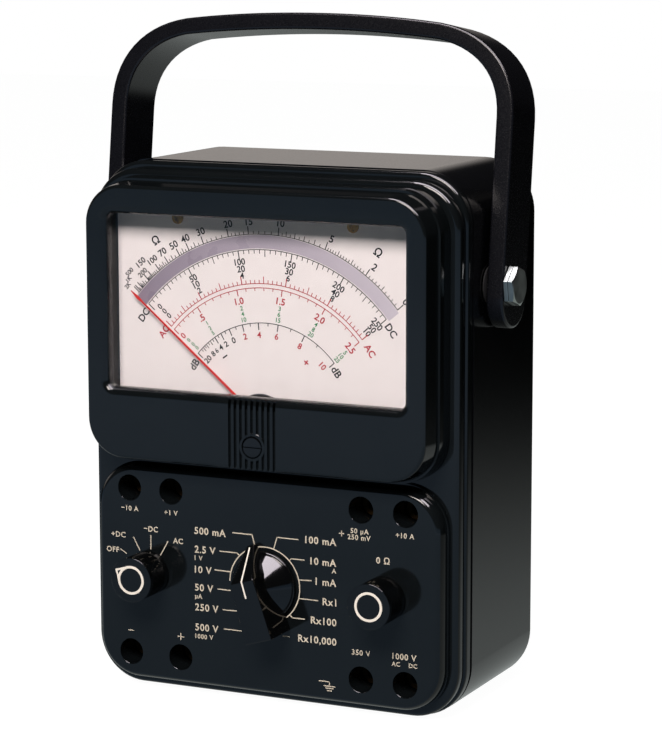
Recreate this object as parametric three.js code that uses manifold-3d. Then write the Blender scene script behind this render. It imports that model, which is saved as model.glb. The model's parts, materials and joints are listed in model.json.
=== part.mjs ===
// Analog volt-ohm meter in a moulded case with a bail handle.
// Sizes are in millimetres. X runs to the right, Y to the back and Z up.
// The origin lies on the flat bottom, halfway across and halfway through the depth.

import * as THREE from 'three';
import { mergeVertices } from 'three/addons/utils/BufferGeometryUtils.js';
import Module from 'manifold-3d';

const wasm = await Module();
wasm.setup();

// Overall body
const bodyWidth = 133.35;
const bodyHeight = 177.8;
const bodyDepth = 79.4;
const bezelProud = 14.7;
const plateauProud = 6;
const panelThickness = 10;
const halfWidth = bodyWidth / 2;
const backY = bodyDepth / 2;
const faceY = -backY;
const shoulderY = faceY + bezelProud;
const plateauY = shoulderY - plateauProud;

// Clearances
const fit = 0.3;
const seatGap = 0.2;
const overrun = 1;
const weldDistance = 1e-5;

// Facets
const cornerSteps = 6;
const fineSides = 26;
const roundSides = 18;
const wellSides = 16;
const smallSides = 10;
const quarterTurn = Math.PI / 2;
const fullTurn = 2 * Math.PI;
const degree = Math.PI / 180;

// Rear case
const caseWall = 3;
const caseCornerRadius = 17.6;
const caseBackRadius = 3;
const caseBackSteps = 3;
const seamY = shoulderY + panelThickness + fit;
const landDepth = 0.4;
const landDrop = 9.3;

// Battery compartment in the back
const batteryDoorHalfWidth = 36.5;
const batteryDoorLow = 16;
const batteryDoorHigh = 86;
const batteryDoorThickness = 1.7;
const batteryDoorCorner = 3;
const batteryLedge = 3.5;
const batteryLedgeTop = 8.6;
const coverScrewHeadRadius = 3.2;
const coverScrewHeadHeight = 1.6;
const coverScrewRadius = 1.5;
const coverScrewLength = 7;
const coverBossRadius = 3.6;

// Case screws and the columns that they join
const caseScrewPlaces = [
  { name: 'case_screw_lower_left', side: -1, row: 'lower' },
  { name: 'case_screw_lower_right', side: 1, row: 'lower' },
  { name: 'case_screw_upper_left', side: -1, row: 'upper' },
  { name: 'case_screw_upper_right', side: 1, row: 'upper' },
];
const lowerScrewInset = 24.4;
const lowerScrewZ = 8.4;
const upperScrewInset = 12.7;
const upperScrewDrop = 12.5;
const screwHeadRadius = 3.4;
const screwHeadHeight = 2.2;
const screwRadius = 1.9;
const screwReach = 12;
const screwSink = 1.4;
const columnRadius = 4.1;
const columnMeetY = 20;

// Rear feet
const footRadius = 5;
const footSink = 1;
const footProud = 1.5;
const footEndShare = 0.85;
const footEdgeShare = 0.6;
const footX = 53.5;
const footLowZ = 26;
const footHighZ = 146;

// Handle
const pivotY = -1;
const pivotDrop = 37.5;
const pivotZ = bodyHeight - pivotDrop;
const handleLean = 7.3 * degree;
const washerThickness = 0.4;
const legThickness = 5.9;
const crownThickness = 5.5;
const crownHeight = 85.7;
const crownRise = 5;
const handleCornerRadius = 27;
const cornerRiseShare = 0.62;
const cornerRunShare = 0.4;
const crownShoulderShare = 0.5;
const crownFlatShare = 0.34;
const strapFront = 5.2;
const strapBack = 15.1;
const legDrop = 13.7;
const legEndRadius = 8;
const handleEdge = 0.9;

// Handle bolts
const boltRadius = 3.1;
const hexAcrossFlats = 11.4;
const boltHeadHeight = 1.9;
const boltCrownInset = 0.2;
const boltCrownSlope = 2;
const collarHeight = 1.4;
const hexTurn = -11 * degree;
const padRadius = 7.6;
const padThickness = 2.4;
const insertNutHeight = 4.5;
const insertNutAcrossFlats = 11;

// Front panel: two beads round a base plate, and the control plateau below
const shoulderSideInset = 2.5;
const shoulderEndInset = 3.9;
const shoulderFootInset = 2.4;
const frontBeadY = shoulderY + 1.7;
const frontBeadSideInset = 0.6;
const frontBeadEndInset = 2.5;
const frontBeadFootInset = 1.2;
const grooveFrontY = shoulderY + 4.6;
const grooveBackY = shoulderY + 5.6;
const grooveSideInset = 2.2;
const grooveEndInset = 3.8;
const grooveFootInset = 2.2;
const backBeadY = shoulderY + 8.1;
const backBeadHalf = 1.3;
const backBeadInset = 0.3;
const seamInset = 0.9;
const panelCornerRadius = 17;
const beadRoundInset = 0.5;
const panelWall = 3;
const lipInset = 3.4;
const lipWall = 2;
const lipLength = 5.5;
const plateauSideInset = 3.4;
const plateauHalfWidth = halfWidth - plateauSideInset;
const plateauLow = 3.6;
const plateauHigh = 78.3;
const plateauCorner = 15;
const plateauLedge = 0.5;
const plateauLedgeY = shoulderY - 1.5;
const plateauBevel = 2.5;
const bevelDepthShares = [0, 0.12, 0.42, 1];
const bevelInsetShares = [1, 0.62, 0.22, 0];
const ledgeRun = 0.1;

// Test jacks in deep wells
const wellRadius = 4.3;
const wellWall = 1.9;
const wellFloor = 2;
const wellDepth = 11.5;
const jackSideInset = 13.1;
const jackSpacing = 15.6;
const jackWideSpacing = 18.7;
const jackRowDrop = 8.9;
const jackRowRise = 9.7;
const jackColumnOuter = plateauHalfWidth - jackSideInset;
const jackColumnInner = jackColumnOuter - jackSpacing;
const jackLowerInner = jackColumnOuter - jackWideSpacing;
const jackRowHigh = plateauHigh - jackRowDrop;
const jackRowLow = plateauLow + jackRowRise;
const jackPlaces = [
  { name: 'jack_upper_left_outer', x: -jackColumnOuter, z: jackRowHigh },
  { name: 'jack_upper_left_inner', x: -jackColumnInner, z: jackRowHigh },
  { name: 'jack_upper_right_inner', x: jackColumnInner, z: jackRowHigh },
  { name: 'jack_upper_right_outer', x: jackColumnOuter, z: jackRowHigh },
  { name: 'jack_lower_left_outer', x: -jackColumnOuter, z: jackRowLow },
  { name: 'jack_lower_left_inner', x: -jackLowerInner, z: jackRowLow },
  { name: 'jack_lower_right_inner', x: jackColumnInner, z: jackRowLow },
  { name: 'jack_lower_right_outer', x: jackColumnOuter, z: jackRowLow },
];
const jackTubeRadius = 3.2;
const jackBoreRadius = 2.1;
const jackFlangeHeight = 1;
const jackTubeLength = 12;
const jackEndWall = 1;

// Meter bezel
const bezelSideStep = 0.5;
const bezelRise = 0.6;
const bezelDrop = 4.5;
const bezelHalfWidth = plateauHalfWidth - bezelSideStep;
const bezelLow = plateauHigh + bezelRise;
const bezelHigh = bodyHeight - bezelDrop;
const bezelCorner = 15;
const bezelLedgeDepth = 7.7;
const bezelLedge = 0.7;
const bezelLowerDraft = 0.4;
const bezelUpperDraft = 1.1;
const bezelEdgeRound = 1;
const edgeRoundShare = 0.3;
const windowSideInset = 7.1;
const windowRise = 23;
const windowDrop = 8.9;
const windowHalfWidth = bezelHalfWidth - windowSideInset;
const windowLow = bezelLow + windowRise;
const windowHigh = bezelHigh - windowDrop;
const windowCorner = 3.6;
const windowRevealWidth = 2.6;
const windowRevealDepth = 3.4;
const windowRevealSteps = 3;
const windowLipDepth = 1;
const cavitySideInset = 7.2;
const cavityRise = 5.7;
const cavityDrop = 9;
const cavityHalfWidth = bezelHalfWidth - cavitySideInset;
const cavityLow = bezelLow + cavityRise;
const cavityHigh = bezelHigh - cavityDrop;
const cavityCorner = 3;

// Ribbed strip and zero adjustment on the bezel
const ribCount = 8;
const ribPitch = 2;
const ribWidth = 0.95;
const ribDepth = 1;
const hubDrop = 6.4;
const zeroScrewDrop = 7;
const pivotHubZ = windowLow - hubDrop;
const zeroScrewZ = pivotHubZ - zeroScrewDrop;
const zeroBossRadius = 4.7;
const zeroHeadRadius = 3.4;
const zeroHeadHeight = 1.9;
const zeroShaftRadius = 1.5;
const zeroPinRadius = 0.6;
const zeroPinOffset = 1.1;
const zeroPinLength = 2.6;
const slotWidth = 0.9;
const slotDepth = 0.7;

// Window glass, dial and meter frame
const glassThickness = 1.5;
const glassOverlap = 2;
const dialThickness = 0.7;
const dialOverlap = 1.9;
const dialScrewX = 31.4;
const dialScrewDrop = 4.3;
const dialScrewZ = windowHigh - dialScrewDrop;
const dialScrewHeadRadius = 2.2;
const dialScrewHeadHeight = 0.9;
const dialScrewRadius = 1.1;
const frameRim = 1;
const framePlate = 2.5;
const frameStemHole = 4;
const framePostRadius = 2.5;
const framePostAngle = 60 * degree;

// Moving-coil movement
const needleClearance = 0.45;
const needleToDial = 2.25;
const needleSideMargin = 7.45;
const needleRootWidth = 1;
const needleTipWidth = 0.45;
const needleThickness = 0.5;
const needleHubRadius = 3.2;
const needleTailLength = 9;
const needleTailWidth = 1.4;
const needleArmLength = 6;
const stemRadius = 0.8;
const sweepHalf = 50 * degree;
const needleLength = (cavityHalfWidth - needleSideMargin) / Math.sin(sweepHalf);
const yokeStandoff = 3.9;
const yokeLength = 13.6;
const yokeOuterRadius = 19;
const coreRadius = 8.2;
const coilGap = 0.7;
const coilWire = 1.2;
const coilWidth = 3;
const bracketThickness = 1.2;
const prongHalfWidth = 1.2;
const prongReach = 5.5;
const bridgeDiscRadius = 9.5;
const bridgeThickness = 1;
const bridgePostX = 12;
const bridgePostDrop = 7.5;
const bridgePostZ = pivotHubZ - bridgePostDrop;
const bridgePostRadius = 1.7;
const bridgeSlotHalf = 2.2;

// Range knob
const rangeX = 0;
const knobZ = 41.2;
const skirtRadius = 11.4;
const skirtHeight = 1.3;
const skirtRim = 0.5;
const skirtEdge = 0.3;
const grooveDepth = 0.3;
const grooveWidth = 0.4;
const coneTopRadius = 2.8;
const barHeight = 14;
const barTipHeight = 2;
const barTip = 13.9;
const barKink = 4.2;
const barTail = 16.2;
const barTipHalf = 1.3;
const barKinkHalf = 4.2;
const barTailHalf = 5;
const rangeRestTurn = -15 * degree;
const shaftRadius = 3.1;
const shaftDepthInKnob = 9;

// Round knobs
const roundKnobInset = 20.3;
const roundKnobX = plateauHalfWidth - roundKnobInset;
const roundKnobHeight = 12.3;
const roundKnobRadius = 7.4;
const roundKnobBase = 8.2;
const roundKnobBaseHeight = 1.6;
const roundKnobCapHeight = 2.4;
const roundKnobChamfer = 0.5;
const knurlTeeth = 26;
const knurlDepth = 0.35;

// Switches and the potentiometer
const switchBushRadius = 4.5;
const switchBushLength = 3.6;
const shaftLengthInSwitch = 4;
const rangeWaferRadius = 16;
const rangeWafers = 3;
const waferPitch = 7.3;
const waferShare = 0.4;
const rangeSpacerRadius = 8;
const functionWaferRadius = 9;
const functionWafers = 2;
const functionSpacerRadius = 6;
const potRadius = 9.5;
const potLength = 12;

// Circuit board and fuse
const boardThickness = 1.6;
const boardToHolder = 2.1;
const boardSideInset = 10.7;
const boardLow = 15;
const boardHigh = 79;
const boardCorner = 3;
const fuseRadius = 3.2;
const fuseLength = 32;
const fuseCapLength = 6;
const fuseWaist = 0.3;
const fuseOffset = 10.4;
const fuseZ = 42;

// Batteries and their holder
const holderHalfWidth = 35.6;
const holderWall = 1.5;
const cellLength = 58.5;
const cellTipRadius = 4.8;
const cellTipLength = 1.6;
const cellPlay = 0.5;
const cellToCover = 1.2;
const blockWidth = 48.5;
const blockSlack = 6.9;
const blockHeight = 17.5;
const studRadius = 3;
const studLength = 2.4;
const studSpacing = 12.7;

// Finishes, as they look on the real thing
const finish = {
  caseBlack: { color: 0x141619, roughness: 0.34, metalness: 0 },
  panelBlack: { color: 0x101214, roughness: 0.14, metalness: 0 },
  knobBlack: { color: 0x0d0e10, roughness: 0.12, metalness: 0 },
  handleBlack: { color: 0x17191b, roughness: 0.45, metalness: 0 },
  rubber: { color: 0x101010, roughness: 0.9, metalness: 0 },
  steel: { color: 0xb9bdb8, roughness: 0.3, metalness: 1 },
  brass: { color: 0xb08d4a, roughness: 0.3, metalness: 1 },
  copper: { color: 0x8f4a22, roughness: 0.4, metalness: 1 },
  dialWhite: { color: 0xe6e1e0, roughness: 0.6, metalness: 0 },
  needleRed: { color: 0xd8402f, roughness: 0.4, metalness: 0 },
  glass: { color: 0xf2f6f6, roughness: 0.04, metalness: 0 },
  phenolic: { color: 0x6b4a28, roughness: 0.6, metalness: 0 },
  boardGreen: { color: 0x2f5a35, roughness: 0.5, metalness: 0 },
  cellGrey: { color: 0x55585c, roughness: 0.4, metalness: 0.3 },
};

// Solids for joining and cutting

function toSolid(geometry) {
  const bare = geometry.clone();
  bare.deleteAttribute('normal');
  bare.deleteAttribute('uv');
  const merged = mergeVertices(bare, weldDistance);
  return new wasm.Manifold(new wasm.Mesh({
    numProp: 3,
    vertProperties: merged.attributes.position.array,
    triVerts: new Uint32Array(merged.index.array),
  }));
}

function toGeometry(solid) {
  const mesh = solid.getMesh();
  const geometry = new THREE.BufferGeometry();
  geometry.setAttribute('position', new THREE.BufferAttribute(mesh.vertProperties, 3));
  geometry.setIndex(new THREE.BufferAttribute(mesh.triVerts, 1));
  geometry.computeVertexNormals();
  return geometry;
}

function join(first, ...others) {
  return others.reduce((solid, other) => solid.add(other), first);
}

function cut(first, ...others) {
  return others.reduce((solid, other) => solid.subtract(other), first);
}

// Outlines in the X-Z plane, anticlockwise as seen from the front

function roundedOutline({ halfWide, low, high, radius }) {
  const corners = [
    [halfWide - radius, low + radius, -quarterTurn],
    [halfWide - radius, high - radius, 0],
    [radius - halfWide, high - radius, quarterTurn],
    [radius - halfWide, low + radius, 2 * quarterTurn],
  ];
  const outline = [];
  for (const [x, z, start] of corners) {
    for (let step = 0; step <= cornerSteps; step += 1) {
      const angle = start + (step / cornerSteps) * quarterTurn;
      outline.push(new THREE.Vector2(x + radius * Math.cos(angle), z + radius * Math.sin(angle)));
    }
  }
  return outline;
}

function insetBox(box, side, end = side, foot = end) {
  return {
    halfWide: box.halfWide - side,
    low: box.low + foot,
    high: box.high - end,
    radius: Math.max(box.radius - side, weldDistance),
  };
}

// A solid through outlines with equal point counts, listed from front to back

function loft(sections) {
  const count = sections[0].outline.length;
  const positions = [];
  for (const { y, outline } of sections) {
    for (const point of outline) positions.push(point.x, y, point.y);
  }
  const index = [];
  for (let section = 0; section + 1 < sections.length; section += 1) {
    for (let k = 0; k < count; k += 1) {
      const here = section * count + k;
      const next = section * count + ((k + 1) % count);
      index.push(here, here + count, next, next, here + count, next + count);
    }
  }
  const last = (sections.length - 1) * count;
  for (const [a, b, c] of THREE.ShapeUtils.triangulateShape(sections[0].outline, [])) {
    index.push(a, b, c);
  }
  for (const [a, b, c] of THREE.ShapeUtils.triangulateShape(sections.at(-1).outline, [])) {
    index.push(last + a, last + c, last + b);
  }
  const geometry = new THREE.BufferGeometry();
  geometry.setAttribute('position', new THREE.Float32BufferAttribute(positions, 3));
  geometry.setIndex(index);
  geometry.computeVertexNormals();
  return geometry;
}

function roundedBlock(box, frontY, rearY) {
  const outline = roundedOutline(box);
  return loft([{ y: frontY, outline }, { y: rearY, outline }]);
}

function boxBetween(lowCorner, highCorner) {
  const size = highCorner.map((value, axis) => value - lowCorner[axis]);
  const middle = highCorner.map((value, axis) => (value + lowCorner[axis]) / 2);
  return new THREE.BoxGeometry(...size).translate(...middle);
}

function rodAlongY(radius, frontY, rearY, x, z, sides = roundSides) {
  const rod = new THREE.CylinderGeometry(radius, radius, rearY - frontY, sides);
  return rod.translate(x, (frontY + rearY) / 2, z);
}

function rodAlongX(radius, fromX, toX, y, z, sides = roundSides) {
  const rod = new THREE.CylinderGeometry(radius, radius, toX - fromX, sides).rotateZ(quarterTurn);
  return rod.translate((fromX + toX) / 2, y, z);
}

// A body of revolution about the Y axis. Its profile runs from the back to the front,
// each point a radius and a height toward the front.

function turned(profile, sides = roundSides) {
  const points = profile.map(([radius, height]) => new THREE.Vector2(radius, -height));
  return new THREE.LatheGeometry(points.reverse(), sides);
}

function mesh(name, geometry, look) {
  const item = new THREE.Mesh(geometry, new THREE.MeshStandardMaterial(finish[look]));
  item.name = name;
  return item;
}

const group = new THREE.Group();

// Rear case

const bodyBox = { halfWide: halfWidth, low: 0, high: bodyHeight, radius: caseCornerRadius };
const caseInnerX = halfWidth - caseWall;
const caseInnerY = backY - caseWall;
const landX = halfWidth - landDepth;
const landLow = pivotZ - landDrop;

function screwPlace(row, side) {
  const upper = row === 'upper';
  const inset = upper ? upperScrewInset : lowerScrewInset;
  return { x: side * (halfWidth - inset), z: upper ? bodyHeight - upperScrewDrop : lowerScrewZ };
}

function caseShell() {
  const sections = [{ y: seamY, outline: roundedOutline(bodyBox) }];
  for (let step = 0; step <= caseBackSteps; step += 1) {
    const angle = (step / caseBackSteps) * quarterTurn;
    const inset = caseBackRadius * (1 - Math.cos(angle));
    const y = backY - caseBackRadius * (1 - Math.sin(angle));
    sections.push({ y, outline: roundedOutline(insetBox(bodyBox, inset)) });
  }
  const inside = roundedBlock(insetBox(bodyBox, caseWall), seamY - overrun, caseInnerY);
  return cut(toSolid(loft(sections)), toSolid(inside));
}

function sideLand(side) {
  const near = landX * side;
  const far = (halfWidth + overrun) * side;
  return toSolid(boxBetween(
    [Math.min(near, far), seamY - overrun, landLow],
    [Math.max(near, far), backY + overrun, bodyHeight + overrun],
  ));
}

const doorBox = {
  halfWide: batteryDoorHalfWidth,
  low: batteryDoorLow,
  high: batteryDoorHigh,
  radius: batteryDoorCorner,
};
const rebateY = backY - batteryDoorThickness - fit;
const coverScrewZ = batteryDoorHigh - batteryLedgeTop / 2;
const coverScrewEndY = rebateY - coverScrewLength;

function batteryOpening() {
  const rebate = roundedBlock(insetBox(doorBox, -fit), rebateY, backY + overrun);
  const throughBox = insetBox(doorBox, batteryLedge, batteryLedgeTop, batteryLedge);
  const through = roundedBlock(throughBox, caseInnerY - overrun, backY + overrun);
  return join(toSolid(rebate), toSolid(through));
}

function rearCase() {
  let solid = cut(caseShell(), sideLand(-1), sideLand(1), batteryOpening());
  for (const side of [-1, 1]) {
    const padFrom = side * (caseInnerX - padThickness);
    const padTo = side * (caseInnerX + overrun);
    const pad = rodAlongX(padRadius, Math.min(padFrom, padTo), Math.max(padFrom, padTo), pivotY, pivotZ);
    const holeFrom = side * (caseInnerX - padThickness - overrun);
    const holeTo = side * (halfWidth + overrun);
    const hole = rodAlongX(boltRadius + fit, Math.min(holeFrom, holeTo), Math.max(holeFrom, holeTo), pivotY, pivotZ);
    solid = cut(join(solid, toSolid(pad)), toSolid(hole));
  }
  for (const { side, row } of caseScrewPlaces) {
    const { x, z } = screwPlace(row, side);
    const column = rodAlongY(columnRadius, columnMeetY, caseInnerY + overrun, x, z, smallSides);
    const bore = rodAlongY(screwRadius + fit, columnMeetY - overrun, backY + overrun, x, z, smallSides);
    const seatY = backY - screwHeadHeight - screwSink - fit;
    const seat = rodAlongY(screwHeadRadius + fit, seatY, backY + overrun, x, z, smallSides);
    solid = cut(join(solid, toSolid(column)), toSolid(bore), toSolid(seat));
  }
  const boss = rodAlongY(coverBossRadius, coverScrewEndY - overrun, caseInnerY + overrun, 0, coverScrewZ);
  const bossBore = rodAlongY(coverScrewRadius + fit, coverScrewEndY - fit, backY, 0, coverScrewZ, smallSides);
  solid = cut(join(solid, toSolid(boss)), toSolid(bossBore));
  for (const side of [-1, 1]) {
    for (const z of [footLowZ, footHighZ]) {
      const seat = rodAlongY(footRadius + fit, backY - footSink - fit, backY + overrun, side * footX, z);
      solid = cut(solid, toSolid(seat));
    }
  }
  return mesh('rear_case', toGeometry(solid), 'caseBlack');
}

function batteryCover() {
  const plate = roundedBlock(doorBox, backY - batteryDoorThickness, backY);
  const hole = rodAlongY(coverScrewRadius + fit, rebateY, backY + overrun, 0, coverScrewZ, smallSides);
  return mesh('battery_cover', toGeometry(cut(toSolid(plate), toSolid(hole))), 'caseBlack');
}

// A screw along Y whose head faces the back, or the front when turned round

function slottedScrew(headRadius, headHeight, shankRadius, shankLength) {
  const body = turned([
    [0, -headHeight],
    [headRadius, -headHeight],
    [headRadius, 0],
    [shankRadius, 0],
    [shankRadius, shankLength],
    [0, shankLength],
  ], smallSides);
  const slot = boxBetween(
    [-headRadius - overrun, headHeight - slotDepth, -slotWidth / 2],
    [headRadius + overrun, headHeight + overrun, slotWidth / 2],
  );
  return toGeometry(cut(toSolid(body), toSolid(slot)));
}

function batteryCoverScrew() {
  const shape = slottedScrew(
    coverScrewHeadRadius,
    coverScrewHeadHeight,
    coverScrewRadius,
    backY + seatGap - coverScrewEndY,
  );
  const screw = mesh('battery_cover_screw', shape, 'steel');
  screw.position.set(0, backY + seatGap, coverScrewZ);
  return screw;
}

function caseScrew({ name, side, row }) {
  const { x, z } = screwPlace(row, side);
  const headY = backY - screwHeadHeight - screwSink;
  const shape = slottedScrew(screwHeadRadius, screwHeadHeight, screwRadius, headY - columnMeetY + screwReach);
  const screw = mesh(name, shape, 'steel');
  screw.position.set(x, headY, z);
  return screw;
}

function rearFoot(name, side, z) {
  const foot = mesh(name, turned([
    [0, -footProud],
    [footRadius * footEndShare, -footProud],
    [footRadius, -footProud * footEdgeShare],
    [footRadius, footSink],
    [0, footSink],
  ]), 'rubber');
  foot.position.set(side * footX, backY, z);
  return foot;
}

// Handle

const legInnerX = landX + washerThickness + 2 * fit;
const handleHalfWidth = legInnerX + legThickness;

function handleOutline(halfWide, top, cornerRadius) {
  const path = new THREE.Path();
  const cornerZ = top - crownRise - cornerRadius;
  path.moveTo(halfWide, -legDrop);
  path.lineTo(halfWide, cornerZ);
  path.bezierCurveTo(
    halfWide, cornerZ + cornerRadius * cornerRiseShare,
    halfWide - cornerRadius * cornerRunShare, top - crownRise,
    halfWide - cornerRadius, top - crownRise * crownShoulderShare,
  );
  path.quadraticCurveTo(halfWide * crownFlatShare, top, 0, top);
  return path.getPoints(cornerSteps);
}

function handleStrap() {
  const outer = handleOutline(handleHalfWidth, crownHeight, handleCornerRadius);
  const innerTop = crownHeight - crownThickness;
  const inner = handleOutline(legInnerX, innerTop, handleCornerRadius - legThickness);
  const leftSide = outer.slice(0, -1).reverse().map((p) => new THREE.Vector2(-p.x, p.y));
  const innerLeft = inner.map((p) => new THREE.Vector2(-p.x, p.y));
  const innerRight = inner.slice(0, -1).reverse();
  const shape = new THREE.Shape([...outer, ...leftSide, ...innerLeft, ...innerRight]);
  const depth = strapFront + strapBack - 2 * handleEdge;
  const strap = new THREE.ExtrudeGeometry(shape, {
    depth,
    bevelEnabled: true,
    bevelThickness: handleEdge,
    bevelSize: handleEdge,
    bevelOffset: -handleEdge,
    bevelSegments: 1,
  });
  return strap.rotateX(quarterTurn).translate(0, strapBack - handleEdge, 0);
}

function handleSideProfile() {
  const radius = legEndRadius;
  const profile = new THREE.Shape();
  profile.moveTo(-strapFront, crownHeight + overrun);
  profile.lineTo(-strapFront, radius - legDrop);
  profile.absarc(radius - strapFront, radius - legDrop, radius, Math.PI, 1.5 * Math.PI, false);
  profile.absarc(strapBack - radius, radius - legDrop, radius, 1.5 * Math.PI, fullTurn, false);
  profile.lineTo(strapBack, crownHeight + overrun);
  const reach = handleHalfWidth + overrun;
  const slab = new THREE.ExtrudeGeometry(profile, {
    depth: 2 * reach,
    bevelEnabled: false,
    curveSegments: cornerSteps,
  });
  return slab.rotateX(quarterTurn).rotateZ(quarterTurn).translate(-reach, 0, 0);
}

function handle() {
  const reach = handleHalfWidth + overrun;
  const hole = rodAlongX(boltRadius + fit, -reach, reach, 0, 0);
  const solid = cut(toSolid(handleStrap()).intersect(toSolid(handleSideProfile())), toSolid(hole));
  const bail = mesh('handle', toGeometry(solid), 'handleBlack');
  bail.position.set(0, pivotY, pivotZ);
  bail.rotation.x = -handleLean;
  return bail;
}

// Handle bolts, built for the right side and turned round for the left

const collarX = handleHalfWidth + seatGap;
const boltHeadX = collarX + collarHeight + seatGap;
const insertNutX = caseInnerX - padThickness - fit;

function hexAlongX(acrossFlats, fromX, toX) {
  const radius = acrossFlats / Math.sqrt(3);
  const prism = new THREE.CylinderGeometry(radius, radius, toX - fromX, 6);
  return prism.rotateY(hexTurn).rotateZ(quarterTurn).translate((fromX + toX) / 2, 0, 0);
}

function handleBolt() {
  const hex = hexAlongX(hexAcrossFlats, boltHeadX, boltHeadX + boltHeadHeight);
  const crownRadius = hexAcrossFlats / 2 - boltCrownInset;
  const cone = new THREE.CylinderGeometry(
    crownRadius + boltCrownSlope * boltHeadHeight,
    crownRadius,
    boltHeadHeight,
    roundSides,
  ).rotateZ(quarterTurn).translate(boltHeadX + boltHeadHeight / 2, 0, 0);
  const head = toSolid(hex).intersect(toSolid(cone));
  const shank = rodAlongX(boltRadius, insertNutX - insertNutHeight, boltHeadX + boltHeadHeight / 2, 0, 0);
  return toGeometry(join(head, toSolid(shank)));
}

function hexRing(acrossFlats, fromX, toX) {
  const ring = hexAlongX(acrossFlats, fromX, toX);
  const hole = rodAlongX(boltRadius + fit, fromX - overrun, toX + overrun, 0, 0);
  return toGeometry(cut(toSolid(ring), toSolid(hole)));
}

function frictionWasher() {
  const washer = rodAlongX(padRadius - overrun, landX + fit, landX + fit + washerThickness, 0, 0);
  const hole = rodAlongX(boltRadius + fit, landX - overrun, legInnerX + overrun, 0, 0);
  return toGeometry(cut(toSolid(washer), toSolid(hole)));
}

function handleFasteners(sideName, turn) {
  const set = new THREE.Group();
  set.add(mesh(`handle_bolt_${sideName}`, handleBolt(), 'steel'));
  const collar = hexRing(hexAcrossFlats, collarX, collarX + collarHeight);
  set.add(mesh(`handle_hex_collar_${sideName}`, collar, 'steel'));
  set.add(mesh(`handle_friction_washer_${sideName}`, frictionWasher(), 'rubber'));
  const nut = hexRing(insertNutAcrossFlats, insertNutX - insertNutHeight, insertNutX);
  set.add(mesh(`handle_insert_nut_${sideName}`, nut, 'brass'));
  set.position.set(0, pivotY, pivotZ);
  set.rotation.z = turn;
  return set;
}

// Front panel

function basePlate() {
  const section = (y, side, end, foot) => {
    const box = insetBox(bodyBox, side, end, foot);
    box.radius = panelCornerRadius - side;
    return { y, outline: roundedOutline(box) };
  };
  const bead = beadRoundInset;
  return loft([
    section(shoulderY, shoulderSideInset, shoulderEndInset, shoulderFootInset),
    section(shoulderY + bead, frontBeadSideInset + bead, frontBeadEndInset + bead, frontBeadFootInset + bead),
    section(frontBeadY, frontBeadSideInset, frontBeadEndInset, frontBeadFootInset),
    section(frontBeadY + 2 * bead, frontBeadSideInset + bead, frontBeadEndInset + bead, frontBeadFootInset + bead),
    section(grooveFrontY, grooveSideInset, grooveEndInset, grooveFootInset),
    section(grooveBackY, grooveSideInset, grooveEndInset, grooveFootInset),
    section(backBeadY - backBeadHalf, backBeadInset + bead, backBeadInset + bead, backBeadInset + bead),
    section(backBeadY, backBeadInset, backBeadInset, backBeadInset),
    section(backBeadY + backBeadHalf, backBeadInset + bead, backBeadInset + bead, backBeadInset + bead),
    section(shoulderY + panelThickness, seamInset, seamInset, seamInset),
  ]);
}

const plateauBox = {
  halfWide: plateauHalfWidth,
  low: plateauLow,
  high: plateauHigh,
  radius: plateauCorner,
};

function plateau() {
  const stepped = insetBox(plateauBox, plateauLedge);
  const section = (y, box) => ({ y, outline: roundedOutline(box) });
  const slopeDepth = plateauLedgeY - plateauY;
  const slope = bevelDepthShares.map((share, k) => section(
    plateauY + slopeDepth * share,
    insetBox(stepped, plateauBevel * bevelInsetShares[k]),
  ));
  return loft([
    ...slope,
    section(plateauLedgeY + ledgeRun, plateauBox),
    section(shoulderY + overrun, plateauBox),
  ]);
}

const cavityBox = {
  halfWide: cavityHalfWidth,
  low: cavityLow,
  high: cavityHigh,
  radius: cavityCorner,
};
const lipBox = insetBox(bodyBox, lipInset);
const hollowBox = insetBox(bodyBox, lipInset + lipWall);

function frontPanel() {
  const plateY = shoulderY + panelThickness;
  const lip = roundedBlock(lipBox, plateY - overrun, plateY + lipLength);
  const hollow = roundedBlock(hollowBox, shoulderY + panelWall, plateY + lipLength + overrun);
  const plateauInside = insetBox(plateauBox, panelWall + plateauLedge);
  const plateauHollow = roundedBlock(plateauInside, plateauY + panelWall, shoulderY + panelWall + overrun);
  const meterOpening = roundedBlock(insetBox(cavityBox, -fit), shoulderY - overrun, shoulderY + panelWall + overrun);
  let solid = join(toSolid(basePlate()), toSolid(plateau()), toSolid(lip));
  solid = cut(solid, toSolid(hollow), toSolid(plateauHollow), toSolid(meterOpening));
  const wellFloorY = plateauY + wellDepth;
  for (const { x, z } of jackPlaces) {
    const boss = rodAlongY(wellRadius + wellWall, plateauY + panelWall - overrun, wellFloorY + wellFloor, x, z, smallSides);
    solid = join(solid, toSolid(boss));
  }
  for (const { side, row } of caseScrewPlaces) {
    const { x, z } = screwPlace(row, side);
    const rootY = shoulderY + panelWall - overrun;
    const column = rodAlongY(columnRadius, rootY, columnMeetY - fit, x, z, smallSides);
    const boreY = columnMeetY - screwReach - fit;
    const bore = rodAlongY(screwRadius + fit, boreY, columnMeetY, x, z, smallSides);
    solid = cut(join(solid, toSolid(column)), toSolid(bore));
  }
  for (const { x, z } of jackPlaces) {
    const well = rodAlongY(wellRadius, plateauY - overrun, wellFloorY, x, z, wellSides);
    const hole = rodAlongY(jackTubeRadius + fit, plateauY, wellFloorY + wellFloor + overrun, x, z, smallSides);
    solid = cut(solid, toSolid(well), toSolid(hole));
  }
  for (const x of [-roundKnobX, rangeX, roundKnobX]) {
    const hole = rodAlongY(shaftRadius + fit, plateauY - overrun, plateauY + panelWall + overrun, x, knobZ, smallSides);
    solid = cut(solid, toSolid(hole));
  }
  return mesh('front_panel', toGeometry(solid), 'panelBlack');
}

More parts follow.
